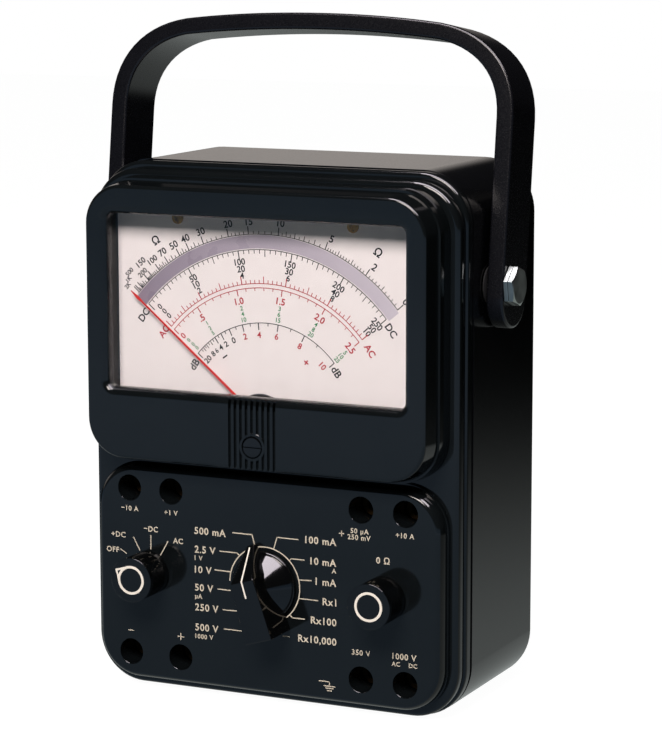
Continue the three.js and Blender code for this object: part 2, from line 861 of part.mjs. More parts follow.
function testJack({ name, x, z }) {
  const flangeRadius = wellRadius - fit;
  const profile = [
    [0, -jackTubeLength],
    [jackTubeRadius, -jackTubeLength],
    [jackTubeRadius, 0],
    [flangeRadius, 0],
    [flangeRadius, jackFlangeHeight],
    [jackBoreRadius, jackFlangeHeight],
    [jackBoreRadius, jackEndWall - jackTubeLength],
    [0, jackEndWall - jackTubeLength],
  ];
  const jack = mesh(name, turned(profile, smallSides), 'brass');
  jack.position.set(x, plateauY + wellDepth - fit, z);
  return jack;
}

// Meter bezel

const bezelBox = { halfWide: bezelHalfWidth, low: bezelLow, high: bezelHigh, radius: bezelCorner };
const windowBox = { halfWide: windowHalfWidth, low: windowLow, high: windowHigh, radius: windowCorner };
const lipY = faceY + windowRevealDepth;
const rabbetY = lipY + windowLipDepth;
const bezelBackY = shoulderY - fit;

function bezelBody() {
  const ledgeY = faceY + bezelLedgeDepth;
  const section = (y, inset) => ({ y, outline: roundedOutline(insetBox(bezelBox, inset)) });
  const frontInset = bezelLowerDraft + bezelLedge + bezelUpperDraft;
  return loft([
    section(faceY, frontInset + bezelEdgeRound),
    section(faceY + bezelEdgeRound * edgeRoundShare, frontInset + bezelEdgeRound * edgeRoundShare),
    section(faceY + bezelEdgeRound, frontInset),
    section(ledgeY, bezelLowerDraft + bezelLedge),
    section(ledgeY + ledgeRun, bezelLowerDraft),
    section(bezelBackY, 0),
  ]);
}

function windowReveal() {
  const sections = [{ y: faceY - overrun, outline: roundedOutline(windowBox) }];
  for (let step = 0; step <= windowRevealSteps; step += 1) {
    const angle = (step / windowRevealSteps) * quarterTurn;
    const inset = windowRevealWidth * Math.sin(angle);
    const y = faceY + windowRevealDepth * (1 - Math.cos(angle));
    sections.push({ y, outline: roundedOutline(insetBox(windowBox, inset)) });
  }
  sections.push({
    y: rabbetY + overrun,
    outline: roundedOutline(insetBox(windowBox, windowRevealWidth)),
  });
  return loft(sections);
}

function ribGroove(k) {
  const middle = (k - ribCount / 2) * ribPitch;
  const halfGroove = (ribPitch - ribWidth) / 2;
  const upper = boxBetween(
    [middle - halfGroove, faceY - overrun, bezelLow],
    [middle + halfGroove, faceY + ribDepth, windowLow + windowRevealWidth + overrun],
  );
  const lower = boxBetween(
    [middle - halfGroove, faceY - overrun, windowLow],
    [middle + halfGroove, lipY, windowLow + windowRevealWidth - ribDepth],
  );
  return join(toSolid(upper), toSolid(lower));
}

function meterBezel() {
  const cavity = roundedBlock(cavityBox, rabbetY, bezelBackY + overrun);
  let solid = cut(toSolid(bezelBody()), toSolid(cavity), toSolid(windowReveal()));
  for (let k = 0; k <= ribCount; k += 1) solid = cut(solid, ribGroove(k));
  const boss = rodAlongY(zeroBossRadius, faceY, faceY + ribDepth + overrun, 0, zeroScrewZ);
  const headY = faceY + zeroHeadHeight + fit;
  const headSeat = rodAlongY(zeroHeadRadius + fit, faceY - overrun, headY, 0, zeroScrewZ);
  const shaftHole = rodAlongY(zeroShaftRadius + fit, faceY, rabbetY + overrun, 0, zeroScrewZ, smallSides);
  solid = cut(join(solid, toSolid(boss)), toSolid(headSeat), toSolid(shaftHole));
  return mesh('meter_bezel', toGeometry(solid), 'panelBlack');
}

function zeroAdjustScrew() {
  const endY = rabbetY + fit - faceY - zeroHeadHeight;
  const body = slottedScrew(zeroHeadRadius, zeroHeadHeight, zeroShaftRadius, endY);
  const pin = rodAlongY(zeroPinRadius, -endY - zeroPinLength, overrun - endY, 0, zeroPinOffset, smallSides);
  const screw = mesh('zero_adjust_screw', toGeometry(join(toSolid(body), toSolid(pin))), 'knobBlack');
  screw.position.set(0, faceY + zeroHeadHeight, zeroScrewZ);
  screw.rotation.z = Math.PI;
  return screw;
}

// Glass, dial and frame of the meter

const glassFrontY = rabbetY + fit;
const glassBackY = glassFrontY + glassThickness;
const frameFrontY = glassBackY + fit;
const bridgeBackY = frameFrontY + bridgeThickness;
const needleY = bridgeBackY + needleClearance + needleThickness / 2;
const dialY = needleY + needleThickness / 2 + needleToDial;
const frameBackY = dialY + dialThickness + fit;
const yokeFrontY = frameBackY + framePlate + yokeStandoff;
const glassBox = insetBox(insetBox(windowBox, windowRevealWidth), -glassOverlap);
const frameBox = insetBox(cavityBox, fit);

function windowGlass() {
  return mesh('window_glass', roundedBlock(glassBox, glassFrontY, glassBackY), 'glass');
}

function dialPlate() {
  const box = { ...insetBox(frameBox, frameRim + fit), low: windowLow - dialOverlap };
  const notch = rodAlongY(bridgeDiscRadius - overrun, dialY - overrun, dialY + 2 * overrun, 0, pivotHubZ);
  let solid = cut(toSolid(roundedBlock(box, dialY, dialY + dialThickness)), toSolid(notch));
  for (const side of [-1, 1]) {
    const hole = rodAlongY(
      dialScrewRadius + fit,
      dialY - overrun,
      dialY + 2 * overrun,
      side * dialScrewX,
      dialScrewZ,
      smallSides,
    );
    solid = cut(solid, toSolid(hole));
  }
  return mesh('dial_plate', toGeometry(solid), 'dialWhite');
}

function dialScrew(name, side) {
  const shape = slottedScrew(dialScrewHeadRadius, dialScrewHeadHeight, dialScrewRadius, framePlate);
  const screw = mesh(name, shape, 'brass');
  screw.position.set(side * dialScrewX, dialY - seatGap, dialScrewZ);
  screw.rotation.z = Math.PI;
  return screw;
}

function meterFrame() {
  const tray = roundedBlock(frameBox, frameFrontY, frameBackY + framePlate);
  const inside = roundedBlock(insetBox(frameBox, frameRim), frameFrontY - overrun, frameBackY);
  const plateY = frameBackY + framePlate;
  const stemHole = rodAlongY(frameStemHole, frameBackY - overrun, plateY + overrun, 0, pivotHubZ);
  let solid = cut(toSolid(tray), toSolid(inside), toSolid(stemHole));
  const ringMiddle = (yokeOuterRadius + yokeInnerRadius) / 2;
  for (const side of [-1, 1]) {
    const x = side * dialScrewX;
    const hole = rodAlongY(dialScrewRadius + fit, frameBackY - overrun, plateY + overrun, x, dialScrewZ, smallSides);
    const postX = side * ringMiddle * Math.sin(framePostAngle);
    const postZ = pivotHubZ + ringMiddle * Math.cos(framePostAngle);
    const post = rodAlongY(framePostRadius, plateY - overrun, yokeFrontY - fit, postX, postZ, smallSides);
    solid = join(cut(solid, toSolid(hole)), toSolid(post));
  }
  return mesh('meter_frame', toGeometry(solid), 'phenolic');
}

// Moving-coil movement

const coilInnerRadius = coreRadius + coilGap;
const coilOuterRadius = coilInnerRadius + coilWire;
const yokeInnerRadius = coilOuterRadius + coilGap;
const yokeBackY = yokeFrontY + yokeLength;

function needle() {
  const outline = new THREE.Shape();
  outline.moveTo(needleRootWidth / 2, 0);
  outline.lineTo(needleTipWidth / 2, needleLength);
  outline.lineTo(-needleTipWidth / 2, needleLength);
  outline.lineTo(-needleRootWidth / 2, 0);
  const flat = new THREE.ExtrudeGeometry(outline, { depth: needleThickness, bevelEnabled: false });
  const half = needleThickness / 2;
  const blade = toSolid(flat.rotateX(quarterTurn).translate(0, half, 0));
  const hub = toSolid(rodAlongY(needleHubRadius, -half, half, 0, 0, smallSides));
  const tail = toSolid(boxBetween(
    [-needleTailWidth / 2, -half, -needleTailLength],
    [needleTailWidth / 2, half, 0],
  ));
  const arms = toSolid(boxBetween(
    [-needleArmLength, -half, -needleTailWidth / 2],
    [needleArmLength, half, needleTailWidth / 2],
  ));
  const stemEnd = yokeFrontY - fit - coilWire - fit - needleY;
  const stem = toSolid(rodAlongY(stemRadius, 0, stemEnd, 0, 0, smallSides));
  return toGeometry(join(blade, hub, tail, arms, stem));
}

function movingCoil() {
  const front = yokeFrontY - fit - coilWire;
  const rear = yokeBackY + fit + coilWire;
  const outer = boxBetween(
    [-coilOuterRadius, front, -coilWidth / 2],
    [coilOuterRadius, rear, coilWidth / 2],
  );
  const inner = boxBetween(
    [-coilInnerRadius, front + coilWire, -coilWidth],
    [coilInnerRadius, rear - coilWire, coilWidth],
  );
  return toGeometry(cut(toSolid(outer), toSolid(inner)).translate([0, -needleY, 0]));
}

function movement() {
  const moving = new THREE.Group();
  moving.add(mesh('pointer', needle(), 'needleRed'));
  moving.add(mesh('moving_coil', movingCoil(), 'copper'));
  moving.position.set(0, needleY, pivotHubZ);
  moving.rotation.y = -sweepHalf;
  return moving;
}

function coreMagnet() {
  return mesh('core_magnet', rodAlongY(coreRadius, yokeFrontY, yokeBackY, 0, pivotHubZ), 'steel');
}

function magnetYoke() {
  const ring = rodAlongY(yokeOuterRadius, yokeFrontY, yokeBackY, 0, pivotHubZ);
  const bore = rodAlongY(yokeInnerRadius, yokeFrontY - overrun, yokeBackY + overrun, 0, pivotHubZ);
  return mesh('magnet_yoke', toGeometry(cut(toSolid(ring), toSolid(bore))), 'steel');
}

function coreBracket() {
  const frontY = yokeBackY + fit;
  const rearY = frontY + bracketThickness;
  const ring = rodAlongY(yokeOuterRadius, frontY, rearY, 0, pivotHubZ);
  const bore = rodAlongY(yokeInnerRadius, frontY - overrun, rearY + overrun, 0, pivotHubZ);
  const prongRoot = yokeInnerRadius + overrun;
  const prongs = [-1, 1].map((side) => toSolid(boxBetween(
    [-prongHalfWidth, frontY, pivotHubZ + Math.min(side * prongReach, side * prongRoot)],
    [prongHalfWidth, rearY, pivotHubZ + Math.max(side * prongReach, side * prongRoot)],
  )));
  return mesh('core_bracket', toGeometry(join(cut(toSolid(ring), toSolid(bore)), ...prongs)), 'brass');
}

function frontBridge() {
  const disc = toSolid(rodAlongY(bridgeDiscRadius, frameFrontY, bridgeBackY, 0, pivotHubZ, fineSides));
  const bar = toSolid(boxBetween(
    [-bridgePostX - bridgePostRadius, frameFrontY, bridgePostZ - bridgePostRadius],
    [bridgePostX + bridgePostRadius, bridgeBackY, bridgePostZ + bridgePostRadius],
  ));
  const posts = [-1, 1].map((side) => toSolid(rodAlongY(
    bridgePostRadius,
    frameFrontY + bridgeThickness / 2,
    frameBackY - fit,
    side * bridgePostX,
    bridgePostZ,
    smallSides,
  )));
  const slot = toSolid(boxBetween(
    [-bridgeSlotHalf, frameFrontY - overrun, zeroScrewZ - bridgeSlotHalf],
    [bridgeSlotHalf, bridgeBackY + overrun, zeroScrewZ + bridgeSlotHalf],
  ));
  return mesh('movement_front_bridge', toGeometry(cut(join(disc, bar, ...posts), slot)), 'knobBlack');
}

// Range knob: a skirt that rises as a steep cone, with a pointer bar across it

function rangeSkirt() {
  const grooveRadius = skirtRadius - skirtRim;
  const grooveHeight = skirtHeight - grooveDepth;
  const coneFootRadius = grooveRadius - grooveWidth;
  const coneTop = grooveHeight + coneFootRadius - coneTopRadius;
  return turned([
    [0, 0],
    [skirtRadius, 0],
    [skirtRadius, skirtHeight - skirtEdge],
    [skirtRadius - skirtEdge, skirtHeight],
    [grooveRadius, skirtHeight],
    [grooveRadius, grooveHeight],
    [coneFootRadius, grooveHeight],
    [coneTopRadius, coneTop],
    [0, coneTop],
  ], fineSides);
}

function rangeBar() {
  const ends = [[barTipHalf, barTip], [barKinkHalf, barKink], [barTailHalf, -barTail]];
  const right = ends.map(([half, along]) => new THREE.Vector2(half, along));
  const left = ends.map(([half, along]) => new THREE.Vector2(-half, along));
  const outline = [...right.reverse(), ...left];
  return loft([{ y: -barHeight, outline }, { y: -seatGap, outline }]);
}

function slopeCut() {
  const shape = new THREE.Shape();
  const rise = (barHeight - barTipHeight) / (barTip - barKink);
  const reach = barTip + overrun;
  const tipHeight = barHeight - rise * (reach - barKink);
  shape.moveTo(barKink, barHeight);
  shape.lineTo(reach, tipHeight);
  shape.lineTo(reach, barHeight + overrun);
  shape.lineTo(barKink, barHeight + overrun);
  const wide = barTailHalf + overrun;
  const wedge = new THREE.ExtrudeGeometry(shape, { depth: 2 * wide, bevelEnabled: false });
  // The wedge's X is the bar's length and its Y the height toward the front
  const turn = new THREE.Matrix4().makeBasis(
    new THREE.Vector3(0, 0, 1),
    new THREE.Vector3(0, -1, 0),
    new THREE.Vector3(1, 0, 0),
  );
  return wedge.applyMatrix4(turn).translate(-wide, 0, 0);
}

function rangeKnob() {
  const bar = cut(toSolid(rangeBar()), toSolid(slopeCut()));
  const bore = toSolid(rodAlongY(shaftRadius + fit, -shaftDepthInKnob, overrun, 0, 0, smallSides));
  const solid = cut(join(toSolid(rangeSkirt()), bar), bore);
  const knob = mesh('range_knob', toGeometry(solid), 'knobBlack');
  knob.position.set(rangeX, plateauY - fit, knobZ);
  knob.rotation.y = rangeRestTurn;
  return knob;
}

// Round knobs with a knurled grip

function knurledOutline(radius, toothDepth) {
  const outline = [];
  for (let k = 0; k < 2 * knurlTeeth; k += 1) {
    const angle = (k / (2 * knurlTeeth)) * fullTurn;
    const reach = radius - (k % 2) * toothDepth;
    outline.push(new THREE.Vector2(reach * Math.cos(angle), reach * Math.sin(angle)));
  }
  return outline;
}

function roundKnob(name, x) {
  const section = (height, radius, toothDepth) => ({
    y: -height,
    outline: knurledOutline(radius, toothDepth),
  });
  const capBack = roundKnobHeight - roundKnobCapHeight;
  const gripRadius = roundKnobRadius - knurlDepth / 2;
  const body = loft([
    section(roundKnobHeight, roundKnobRadius - roundKnobChamfer, 0),
    section(roundKnobHeight - roundKnobChamfer, roundKnobRadius, 0),
    section(capBack, roundKnobRadius, 0),
    section(capBack - knurlDepth, gripRadius, knurlDepth),
    section(roundKnobBaseHeight + knurlDepth, gripRadius, knurlDepth),
    section(roundKnobBaseHeight, roundKnobBase, 0),
    section(0, roundKnobBase, 0),
  ]);
  const bore = rodAlongY(shaftRadius + fit, -shaftDepthInKnob, overrun, 0, 0, smallSides);
  const knob = mesh(name, toGeometry(cut(toSolid(body), toSolid(bore))), 'knobBlack');
  knob.position.set(x, plateauY - fit, knobZ);
  return knob;
}

// Shafts, switches and the potentiometer behind the panel

const bushFrontY = plateauY + panelWall + fit;
const switchBodyY = bushFrontY + switchBushLength;
const boardY = switchBodyY + rangeWafers * waferPitch + fit;
const holderFrontY = boardY + boardThickness + boardToHolder;
const cellFrontY = holderFrontY + holderWall + cellPlay;
const cellBackY = backY - batteryDoorThickness - cellToCover;
const cellRadius = (cellBackY - cellFrontY) / 2;
const cellY = cellFrontY + cellRadius;
const blockDepth = 2 * cellRadius - blockSlack;

function controlShaft(name, x) {
  const frontY = plateauY - fit - shaftDepthInKnob + fit;
  const rearY = switchBodyY + shaftLengthInSwitch;
  return mesh(name, rodAlongY(shaftRadius, frontY, rearY, x, knobZ, smallSides), 'steel');
}

// A bushed body with a shaft bore, its profile running from the bush to the back

function bushedBody(profile) {
  const deep = switchBushLength + shaftLengthInSwitch + fit;
  const frontToBack = [
    [0, 0],
    [switchBushRadius, 0],
    [switchBushRadius, -switchBushLength],
    ...profile,
  ];
  const body = turned(frontToBack.reverse());
  const bore = rodAlongY(shaftRadius + fit, -overrun, deep, 0, 0, smallSides);
  return toGeometry(cut(toSolid(body), toSolid(bore)));
}

// A rotary switch is a stack of wafers on spacers

function rotarySwitch(name, x, wafers, waferRadius, spacerRadius) {
  const profile = [];
  for (let k = 0; k < wafers; k += 1) {
    const frontHeight = -switchBushLength - k * waferPitch;
    const waferBack = frontHeight - waferPitch * waferShare;
    profile.push([waferRadius, frontHeight], [waferRadius, waferBack]);
    profile.push([spacerRadius, waferBack], [spacerRadius, frontHeight - waferPitch]);
  }
  profile.push([0, -switchBushLength - wafers * waferPitch]);
  const item = mesh(name, bushedBody(profile), 'phenolic');
  item.position.set(x, bushFrontY, knobZ);
  return item;
}

function potentiometer() {
  const rear = -switchBushLength - potLength;
  const shape = bushedBody([[potRadius, -switchBushLength], [potRadius, rear], [0, rear]]);
  const item = mesh('zero_ohms_potentiometer', shape, 'steel');
  item.position.set(roundKnobX, bushFrontY, knobZ);
  return item;
}

// Circuit board, fuse and batteries

function circuitBoard() {
  const box = { halfWide: halfWidth - boardSideInset, low: boardLow, high: boardHigh, radius: boardCorner };
  return mesh('circuit_board', roundedBlock(box, boardY, boardY + boardThickness), 'boardGreen');
}

function fuse() {
  const half = fuseLength / 2;
  const profile = [
    [0, -half],
    [fuseRadius, -half],
    [fuseRadius, fuseCapLength - half],
    [fuseRadius - fuseWaist, fuseCapLength - half],
    [fuseRadius - fuseWaist, half - fuseCapLength],
    [fuseRadius, half - fuseCapLength],
    [fuseRadius, half],
    [0, half],
  ];
  const item = mesh('fuse', turned(profile, smallSides), 'steel');
  item.position.set(holderHalfWidth + fuseOffset, boardY + boardThickness + fit + fuseRadius, fuseZ);
  item.rotation.x = quarterTurn;
  return item;
}

const holderBackY = caseInnerY - fit;
const cellZ = batteryDoorLow + batteryLedge + holderWall + cellPlay + cellRadius;
const dividerZ = cellZ + cellRadius + cellPlay;
const blockZ = dividerZ + holderWall + cellPlay + blockHeight / 2;
const holderLow = batteryDoorLow + batteryLedge;
const holderHigh = blockZ + blockHeight / 2 + cellPlay + holderWall;

function batteryHolder() {
  const outer = boxBetween(
    [-holderHalfWidth, holderFrontY, holderLow],
    [holderHalfWidth, holderBackY, holderHigh],
  );
  const innerHalf = holderHalfWidth - holderWall;
  const cellBay = boxBetween(
    [-innerHalf, holderFrontY + holderWall, holderLow + holderWall],
    [innerHalf, holderBackY + overrun, dividerZ],
  );
  const blockBay = boxBetween(
    [-innerHalf, holderFrontY + holderWall, dividerZ + holderWall],
    [innerHalf, holderBackY + overrun, holderHigh - holderWall],
  );
  const solid = cut(toSolid(outer), toSolid(cellBay), toSolid(blockBay));
  return mesh('battery_holder', toGeometry(solid), 'caseBlack');
}

function roundCell() {
  const half = cellLength / 2;
  const profile = [
    [0, -half],
    [cellRadius, -half],
    [cellRadius, half],
    [cellTipRadius, half],
    [cellTipRadius, half + cellTipLength],
    [0, half + cellTipLength],
  ];
  const item = mesh('battery_d_cell', turned(profile), 'cellGrey');
  item.position.set(0, cellY, cellZ);
  item.rotation.z = quarterTurn;
  return item;
}

function blockBattery() {
  const block = toSolid(boxBetween(
    [-blockWidth / 2, -blockDepth / 2, -blockHeight / 2],
    [blockWidth / 2 - studLength, blockDepth / 2, blockHeight / 2],
  ));
  const studs = [-1, 1].map((side) => toSolid(rodAlongX(
    studRadius,
    blockWidth / 2 - studLength - overrun,
    blockWidth / 2,
    side * studSpacing / 2,
    0,
    smallSides,
  )));
  const item = mesh('battery_nine_volt', toGeometry(join(block, ...studs)), 'cellGrey');
  item.position.set(0, cellFrontY + blockDepth / 2, blockZ);
  return item;
}

group.add(rearCase(), batteryCover(), batteryCoverScrew());
for (const place of caseScrewPlaces) group.add(caseScrew(place));
group.add(
  rearFoot('rear_foot_lower_left', -1, footLowZ),
  rearFoot('rear_foot_lower_right', 1, footLowZ),
  rearFoot('rear_foot_upper_left', -1, footHighZ),
  rearFoot('rear_foot_upper_right', 1, footHighZ),
);
group.add(handle(), handleFasteners('right', 0), handleFasteners('left', Math.PI));
group.add(frontPanel(), meterBezel(), windowGlass(), dialPlate());
group.add(dialScrew('dial_screw_left', -1), dialScrew('dial_screw_right', 1));
group.add(meterFrame(), movement(), coreMagnet(), magnetYoke(), coreBracket(), frontBridge());
group.add(zeroAdjustScrew());
group.add(
  rangeKnob(),
  controlShaft('range_shaft', rangeX),
  rotarySwitch('range_switch', rangeX, rangeWafers, rangeWaferRadius, rangeSpacerRadius),
);
group.add(
  roundKnob('function_knob', -roundKnobX),
  controlShaft('function_shaft', -roundKnobX),
  rotarySwitch('function_switch', -roundKnobX, functionWafers, functionWaferRadius, functionSpacerRadius),
);
group.add(
  roundKnob('zero_ohms_knob', roundKnobX),
  controlShaft('zero_ohms_shaft', roundKnobX),
  potentiometer(),
);
for (const place of jackPlaces) group.add(testJack(place));
group.add(circuitBoard(), fuse(), batteryHolder(), roundCell(), blockBattery());

export default group;
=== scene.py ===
import json
import math

import bmesh
import bpy
from mathutils import Matrix, Vector


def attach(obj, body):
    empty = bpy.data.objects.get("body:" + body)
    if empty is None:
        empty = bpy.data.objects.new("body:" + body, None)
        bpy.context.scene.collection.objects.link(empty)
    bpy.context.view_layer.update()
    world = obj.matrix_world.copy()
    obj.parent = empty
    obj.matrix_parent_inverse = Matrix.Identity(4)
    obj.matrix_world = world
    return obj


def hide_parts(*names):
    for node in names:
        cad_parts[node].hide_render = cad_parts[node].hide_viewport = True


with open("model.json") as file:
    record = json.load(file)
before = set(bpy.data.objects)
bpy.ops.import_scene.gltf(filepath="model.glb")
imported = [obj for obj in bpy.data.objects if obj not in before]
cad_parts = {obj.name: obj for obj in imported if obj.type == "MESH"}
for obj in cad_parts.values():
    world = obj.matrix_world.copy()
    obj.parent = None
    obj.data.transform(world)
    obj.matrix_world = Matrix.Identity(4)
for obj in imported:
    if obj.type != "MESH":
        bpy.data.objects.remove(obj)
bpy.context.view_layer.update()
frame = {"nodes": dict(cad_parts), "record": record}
millimetre = 0.001
print("frame loaded:", len(frame["nodes"]), "nodes")


# Selecting, in object mode and in edit mode

def putDown():
    if bpy.context.mode != "OBJECT":
        bpy.ops.object.mode_set(mode="OBJECT")
    bpy.ops.object.select_all(action="DESELECT")


def takeUp(piece):
    putDown()
    piece.select_set(True)
    bpy.context.view_layer.objects.active = piece


def openMesh(piece):
    takeUp(piece)
    bpy.ops.object.mode_set(mode="EDIT")
    bpy.ops.mesh.select_all(action="DESELECT")


def closeMesh():
    bpy.ops.object.mode_set(mode="OBJECT")


def pickFaces(test):
    bpy.ops.mesh.select_mode(type="FACE")
    bpy.ops.mesh.select_all(action="DESELECT")
    mesh = bmesh.from_edit_mesh(bpy.context.object.data)
    for face in mesh.faces:
        if test(face.calc_center_median(), face.normal):
            face.select_set(True)
    bmesh.update_edit_mesh(bpy.context.object.data)


def pickEdges(test):
    bpy.ops.mesh.select_mode(type="EDGE")
    bpy.ops.mesh.select_all(action="DESELECT")
    mesh = bmesh.from_edit_mesh(bpy.context.object.data)
    for edge in mesh.edges:
        start, end = edge.verts
        if test(start.co, end.co):
            edge.select_set(True)
    bmesh.update_edit_mesh(bpy.context.object.data)


def pickPoints(test):
    bpy.ops.mesh.select_mode(type="VERT")
    bpy.ops.mesh.select_all(action="DESELECT")
    mesh = bmesh.from_edit_mesh(bpy.context.object.data)
    for point in mesh.verts:
        if test(point.co):
            point.select_set(True)
    mesh.select_flush_mode()
    bmesh.update_edit_mesh(bpy.context.object.data)


def near(value, place, reach=0.02):
    return abs(value - place) < reach


def bisectAll(place, away, fill=True):
    # With a fill, what lies on the plane's far side goes and the cut is closed
    bpy.ops.mesh.select_all(action="SELECT")
    bpy.ops.mesh.bisect(
        plane_co=place, plane_no=Vector(away).normalized(), use_fill=fill, clear_outer=fill,
    )


# Starting shapes, and what is done to them

def named(name):
    piece = bpy.context.object
    piece.name = name
    piece.data.name = name
    bpy.ops.object.transform_apply(location=True, rotation=True, scale=True)
    return piece


def addBlock(name, low, high):
    putDown()
    bpy.ops.mesh.primitive_cube_add(
        size=1,
        location=[(a + b) / 2 for a, b in zip(low, high)],
        scale=[b - a for a, b in zip(low, high)],
    )
    return named(name)


def addSlab(name, box, front, back, steps=10):
    slab = addBlock(name, (-box["halfWide"], front, box["low"]), (box["halfWide"], back, box["high"]))
    openMesh(slab)
    pickEdges(lambda a, b: near(a.x, b.x) and near(a.z, b.z))
    bpy.ops.mesh.bevel(offset=box["corner"], segments=steps, affect="EDGES")
    closeMesh()
    return slab


def smaller(box, side, end=None, foot=None):
    end = side if end is None else end
    foot = end if foot is None else foot
    return {
        "halfWide": box["halfWide"] - side,
        "low": box["low"] + foot,
        "high": box["high"] - end,
        "corner": max(box["corner"] - side, 0.05),
    }


def addRod(name, radius, start, end, sides=48):
    putDown()
    start = Vector(start)
    end = Vector(end)
    bpy.ops.mesh.primitive_cylinder_add(
        vertices=sides,
        radius=radius,
        depth=(end - start).length,
        location=(start + end) / 2,
        rotation=(end - start).to_track_quat("Z", "Y").to_euler(),
    )
    return named(name)


def roundRim(slab, y, width, steps=5, inside=None):
    openMesh(slab)
    pickEdges(lambda a, b: near(a.y, y) and near(b.y, y) and (inside is None or (inside(a) and inside(b))))
    bpy.ops.mesh.bevel(offset=width, segments=steps, affect="EDGES")
    closeMesh()


def stepIn(width, rise):
    bpy.ops.mesh.inset(thickness=width, depth=rise, use_even_offset=True)


def combine(piece, other, operation):
    takeUp(piece)
    tool = piece.modifiers.new("combine", "BOOLEAN")
    tool.operation = operation
    tool.solver = "EXACT"
    tool.object = other
    bpy.ops.object.modifier_apply(modifier=tool.name)
    bpy.data.objects.remove(other, do_unlink=True)


def cutAway(piece, *others):
    for other in others:
        combine(piece, other, "DIFFERENCE")


def weld(piece, *others):
    for other in others:
        combine(piece, other, "UNION")


def gather(name, pieces):
    putDown()
    for piece in pieces:
        piece.select_set(True)
    bpy.context.view_layer.objects.active = pieces[0]
    bpy.ops.object.join()
    return named(name)


# Turned about its own Z from a disc, ring by ring; each ring is a radius and a height
def turnUp(name, rings, sides=64):
    putDown()
    radius, height = rings[0]
    bpy.ops.mesh.primitive_circle_add(
        vertices=sides, radius=radius, fill_type="NGON", location=(0, 0, height)
    )
    piece = named(name)
    openMesh(piece)
    bpy.ops.mesh.select_all(action="SELECT")
    for nextRadius, nextHeight in rings[1:]:
        bpy.ops.mesh.extrude_region_move(
            TRANSFORM_OT_translate={"value": (0, 0, nextHeight - height)}
        )
        share = nextRadius / radius
        bpy.ops.transform.resize(value=(share, share, 1), center_override=(0, 0, nextHeight))
        radius, height = nextRadius, nextHeight
    closeMesh()
    return piece


def putAt(piece, place=(0, 0, 0), turn=(0, 0, 0)):
    takeUp(piece)
    piece.rotation_euler = turn
    piece.location = place
    bpy.ops.object.transform_apply(location=True, rotation=True, scale=True)


# From lying face up to facing the front, or the back, turned clockwise as seen from the front
def standUp(piece, x, y, z, turn=0, facing=1):
    putAt(piece, (x, y, z), (facing * math.pi / 2, math.radians(turn), 0))


sameSpot = 1e-6


def settle(piece, body, material, stands=(), sharp=35):
    takeUp(piece)
    piece.scale = (millimetre, millimetre, millimetre)
    bpy.ops.object.transform_apply(location=True, rotation=True, scale=True)
    openMesh(piece)
    bpy.ops.mesh.select_all(action="SELECT")
    bpy.ops.mesh.remove_doubles(threshold=sameSpot)
    bpy.ops.mesh.normals_make_consistent(inside=False)
    closeMesh()
    bpy.ops.object.shade_smooth_by_angle(angle=math.radians(sharp))
    flat = piece.modifiers.new("flat", "WEIGHTED_NORMAL")
    flat.keep_sharp = True
    bpy.ops.object.modifier_apply(modifier=flat.name)
    piece.data.materials.clear()
    piece.data.materials.append(material)
    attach(piece, body)
    if stands:
        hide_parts(*stands)
    return piece


# Colour and nodes

def colour(code):
    channels = [int(code[k:k + 2], 16) / 255 for k in (1, 3, 5)]
    linear = [c / 12.92 if c <= 0.04045 else ((c + 0.055) / 1.055) ** 2.4 for c in channels]
    return (*linear, 1)


def addNode(tree, kind, settings=None, inputs=None):
    node = tree.nodes.new(kind)
    for key, value in (settings or {}).items():
        setattr(node, key, value)
    for key, value in (inputs or {}).items():
        socket = node.inputs[key]
        if isinstance(value, bpy.types.NodeSocket):
            tree.links.new(value, socket)
        else:
            socket.default_value = value
    return node


def mixColours(tree, share, first, second, how="MIX"):
    return addNode(tree, "ShaderNodeMix", {"data_type": "RGBA", "blend_type": how}, {
        0: share, 6: first, 7: second,
    }).outputs[2]


# Camera, floor and light

view = {
    "azimuth": 25.3,
    "elevation": 9.251,
    "roll": -0.087,
    "distance": 935.915,
    "lens": 138.845,
    "sensor": 36,
    "clip": (0.01, 50),
    "target": (9.468, 0, 109.853),
}

studio = {
    "floorSize": 6000,
    "floorDrop": 0.1,
    "floorTone": "#5c6361",
    "floorGlow": 0.98,
    "floorRough": 0.9,
    "ambient": 0.035,
    "ambientTone": "#d8f5ea",
    "aim": (0, -30, 100),
}
softboxes = {
    "key_softbox": {
        "place": (110, -860, 800), "size": (540, 350), "power": 16.0, "tint": "#fff4ee", "diffuse": True,
    },
    "overhead_softbox": {
        "place": (260, -375, 1041), "size": (1180, 490), "power": 35, "tint": "#fdf3fb", "diffuse": False,
    },
}


def addCamera():
    azimuth, elevation, roll = (math.radians(view[part]) for part in ("azimuth", "elevation", "roll"))
    back = Vector((
        math.sin(azimuth) * math.cos(elevation),
        -math.cos(azimuth) * math.cos(elevation),
        math.sin(elevation),
    ))
    level = Vector((math.cos(azimuth), math.sin(azimuth), 0))
    lift = back.cross(level)
    right = level * math.cos(roll) + lift * math.sin(roll)
    up = lift * math.cos(roll) - level * math.sin(roll)
    putDown()
    bpy.ops.object.camera_add()
    camera = bpy.context.object
    camera.name = "photo_camera"
    place = (Vector(view["target"]) + back * view["distance"]) * millimetre
    turn = Matrix((right, up, back)).transposed().to_4x4()
    camera.matrix_world = Matrix.Translation(place) @ turn
    camera.data.sensor_width = view["sensor"]
    camera.data.lens = view["lens"]
    camera.data.clip_start, camera.data.clip_end = view["clip"]
    bpy.context.scene.camera = camera


